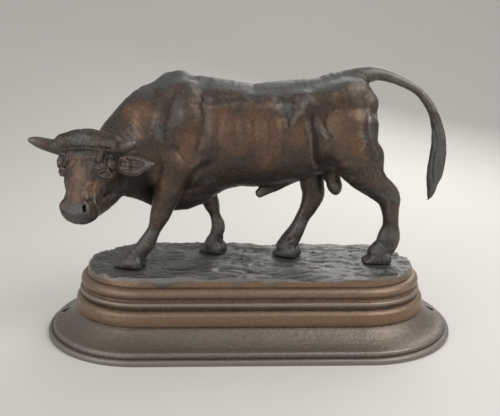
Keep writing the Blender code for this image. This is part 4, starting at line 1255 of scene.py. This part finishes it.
def make_base(settings, finish):
    """The moulded base with its ground."""
    profile = dense_profile(base_profile(), 1.15, settings.depth / MM)
    path = guide_curve("base_outline", outline_points(settings.length, settings.depth, settings.step), True)
    section = guide_curve("base_section", [(-inset * MM, -height * MM) for inset, height in profile], False)
    mesh = run_tree("base_casting", moulded_base_tree(), {
        "Outline": path, "Profile": section, "Hole place": settings.length / 2 - settings.hole_margin,
        "Hole radius": settings.hole / 2, "Hole height": DRILL_LENGTH, "Material": base_bronze(finish)})
    for guide in (path, section):
        bpy.data.objects.remove(guide, do_unlink=True)
    bm = bmesh.new()
    bm.from_mesh(mesh)
    bmesh.ops.recalc_face_normals(bm, faces=bm.faces)
    bm.to_mesh(mesh)
    bm.free()
    model_ground(mesh, settings)
    keep_inside(mesh, BASE_LOW, BASE_HIGH)
    paint_relief(mesh, 4, 0.00045)
    mesh.shade_smooth()
    mesh.set_sharp_from_angle(angle=math.radians(60))
    base = bpy.data.objects.new("base_casting", mesh)
    bpy.context.scene.collection.objects.link(base)
    return base


# Stage


# The camera's place in metres, its lens in millimetres and its turns in degrees
VIEW_PLACE = (-0.0206, -0.4691, 0.2065)
VIEW_LENS = 41.49
VIEW_YAW = 2.35
VIEW_PITCH = 12.79
VIEW_ROLL = 0.71


def make_camera():
    """The photograph's view."""
    camera = bpy.data.objects.new("camera", bpy.data.cameras.new("camera"))
    bpy.context.scene.collection.objects.link(camera)
    camera.data.lens = VIEW_LENS
    camera.data.clip_start = 0.01
    turn = Matrix.Rotation(-math.radians(VIEW_YAW), 4, "Z")
    nod = Matrix.Rotation(math.radians(90.0 - VIEW_PITCH), 4, "X")
    roll = Matrix.Rotation(math.radians(VIEW_ROLL), 4, "Z")
    camera.matrix_world = Matrix.Translation(VIEW_PLACE) @ turn @ nod @ roll
    bpy.context.scene.camera = camera


def make_floor(colour):
    """A pale floor that sweeps up behind."""
    bm = bmesh.new()
    wide, front, back, bend, tall = 3.0, -2.0, 0.35, 1.4, 3.0
    rows = [(front, 0.0)]
    rows += [(back + bend * math.sin(t), bend * (1 - math.cos(t))) for t in np.linspace(0, math.pi / 2, 13)]
    rows.append((back + bend, tall))
    lines = [[bm.verts.new((x, y, z)) for x in (-wide, wide)] for y, z in rows]
    for one, two in zip(lines, lines[1:]):
        bm.faces.new((one[0], one[1], two[1], two[0]))
    mesh = bpy.data.meshes.new("floor")
    bm.to_mesh(mesh)
    bm.free()
    mesh.shade_smooth()
    floor = bpy.data.objects.new("floor", mesh)
    bpy.context.scene.collection.objects.link(floor)
    material, nodes, shader, place = new_material("floor_cloth", 0.0)
    tint = nodes.noise(place, 3.0, 3.0)
    dim = rgba([value * 0.95 for value in colour])
    nodes.feed(shader.inputs["Base Color"], nodes.mix(tint, rgba(colour), dim))
    shader.inputs["Roughness"].default_value = 0.9
    mesh.materials.append(material)
    return floor


def area_light(name, power, size, place, target, colour):
    """A soft square light turned to a target."""
    data = bpy.data.lights.new(name, "AREA")
    data.energy = power
    data.size = size
    data.color = colour
    light = bpy.data.objects.new(name, data)
    bpy.context.scene.collection.objects.link(light)
    light.location = place
    light.rotation_euler = (Vector(target) - Vector(place)).to_track_quat("-Z", "Y").to_euler()


def make_lights(stage):
    """Daylight from the upper right, a soft fill and light from behind."""
    target = (0.0, 0.0, 0.10)
    area_light("key", stage.key, 0.7, (0.65, -0.35, 0.75), target, (1.0, 0.98, 0.95))
    area_light("fill", stage.fill, 1.0, (-0.75, -0.65, 0.45), target, (0.95, 0.97, 1.0))
    area_light("behind", stage.back, 0.6, (0.35, 0.60, 0.60), target, (1.0, 0.99, 0.97))
    world = bpy.data.worlds.new("room")
    bpy.context.scene.world = world
    world.use_nodes = True
    background = world.node_tree.nodes["Background"]
    background.inputs["Color"].default_value = (0.80, 0.79, 0.77, 1.0)
    background.inputs["Strength"].default_value = stage.sky


# Operators


class BULL_OT_make_bull(bpy.types.Operator):
    """Model the bull and give it its patina"""

    bl_idname = "bull_sculpture.make_bull"
    bl_label = "Make bull"
    bl_options = {"REGISTER", "UNDO"}

    def execute(self, context):
        bull = make_bull(context.scene.bull_shape, context.scene.bull_finish)
        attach(bull, "root")
        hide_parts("bull")
        return {"FINISHED"}


class BULL_OT_make_base(bpy.types.Operator):
    """Model the moulded base and its ground"""

    bl_idname = "bull_sculpture.make_base"
    bl_label = "Make base"
    bl_options = {"REGISTER", "UNDO"}

    def execute(self, context):
        base = make_base(context.scene.bull_base, context.scene.bull_finish)
        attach(base, "root")
        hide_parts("base")
        return {"FINISHED"}


class BULL_OT_set_stage(bpy.types.Operator):
    """Lay the floor, set the lights and place the camera"""

    bl_idname = "bull_sculpture.set_stage"
    bl_label = "Set stage"
    bl_options = {"REGISTER", "UNDO"}

    def execute(self, context):
        stage = context.scene.bull_stage
        make_floor(stage.floor)
        make_lights(stage)
        make_camera()
        context.scene.view_settings.view_transform = "Standard"
        return {"FINISHED"}


class BULL_PT_panel(bpy.types.Panel):
    """The sculpture's settings and operators"""

    bl_idname = "BULL_PT_panel"
    bl_label = "Bull sculpture"
    bl_space_type = "VIEW_3D"
    bl_region_type = "UI"
    bl_category = "Bull"

    def draw(self, context):
        for name in SETTINGS:
            group = getattr(context.scene, name)
            for item in group.bl_rna.properties.keys():
                if item not in ("rna_type", "name"):
                    self.layout.prop(group, item)
        for step in (BULL_OT_make_bull, BULL_OT_make_base, BULL_OT_set_stage):
            self.layout.operator(step.bl_idname)


CLASSES = (BullProperties, BaseProperties, FinishProperties, StageProperties,
           BULL_OT_make_bull, BULL_OT_make_base, BULL_OT_set_stage, BULL_PT_panel)
SETTINGS = {"bull_shape": BullProperties, "bull_base": BaseProperties,
            "bull_finish": FinishProperties, "bull_stage": StageProperties}


def register():
    """Add the classes and the scene's settings."""
    for item in CLASSES:
        bpy.utils.register_class(item)
    for name, group in SETTINGS.items():
        setattr(bpy.types.Scene, name, PointerProperty(type=group))


def unregister():
    """Take the settings and the classes away again."""
    for name in SETTINGS:
        delattr(bpy.types.Scene, name)
    for item in reversed(CLASSES):
        bpy.utils.unregister_class(item)


def main():
    """Make every piece and the stage."""
    register()
    bpy.ops.bull_sculpture.make_base()
    bpy.ops.bull_sculpture.make_bull()
    bpy.ops.bull_sculpture.set_stage()


if __name__ == "__main__":
    main()
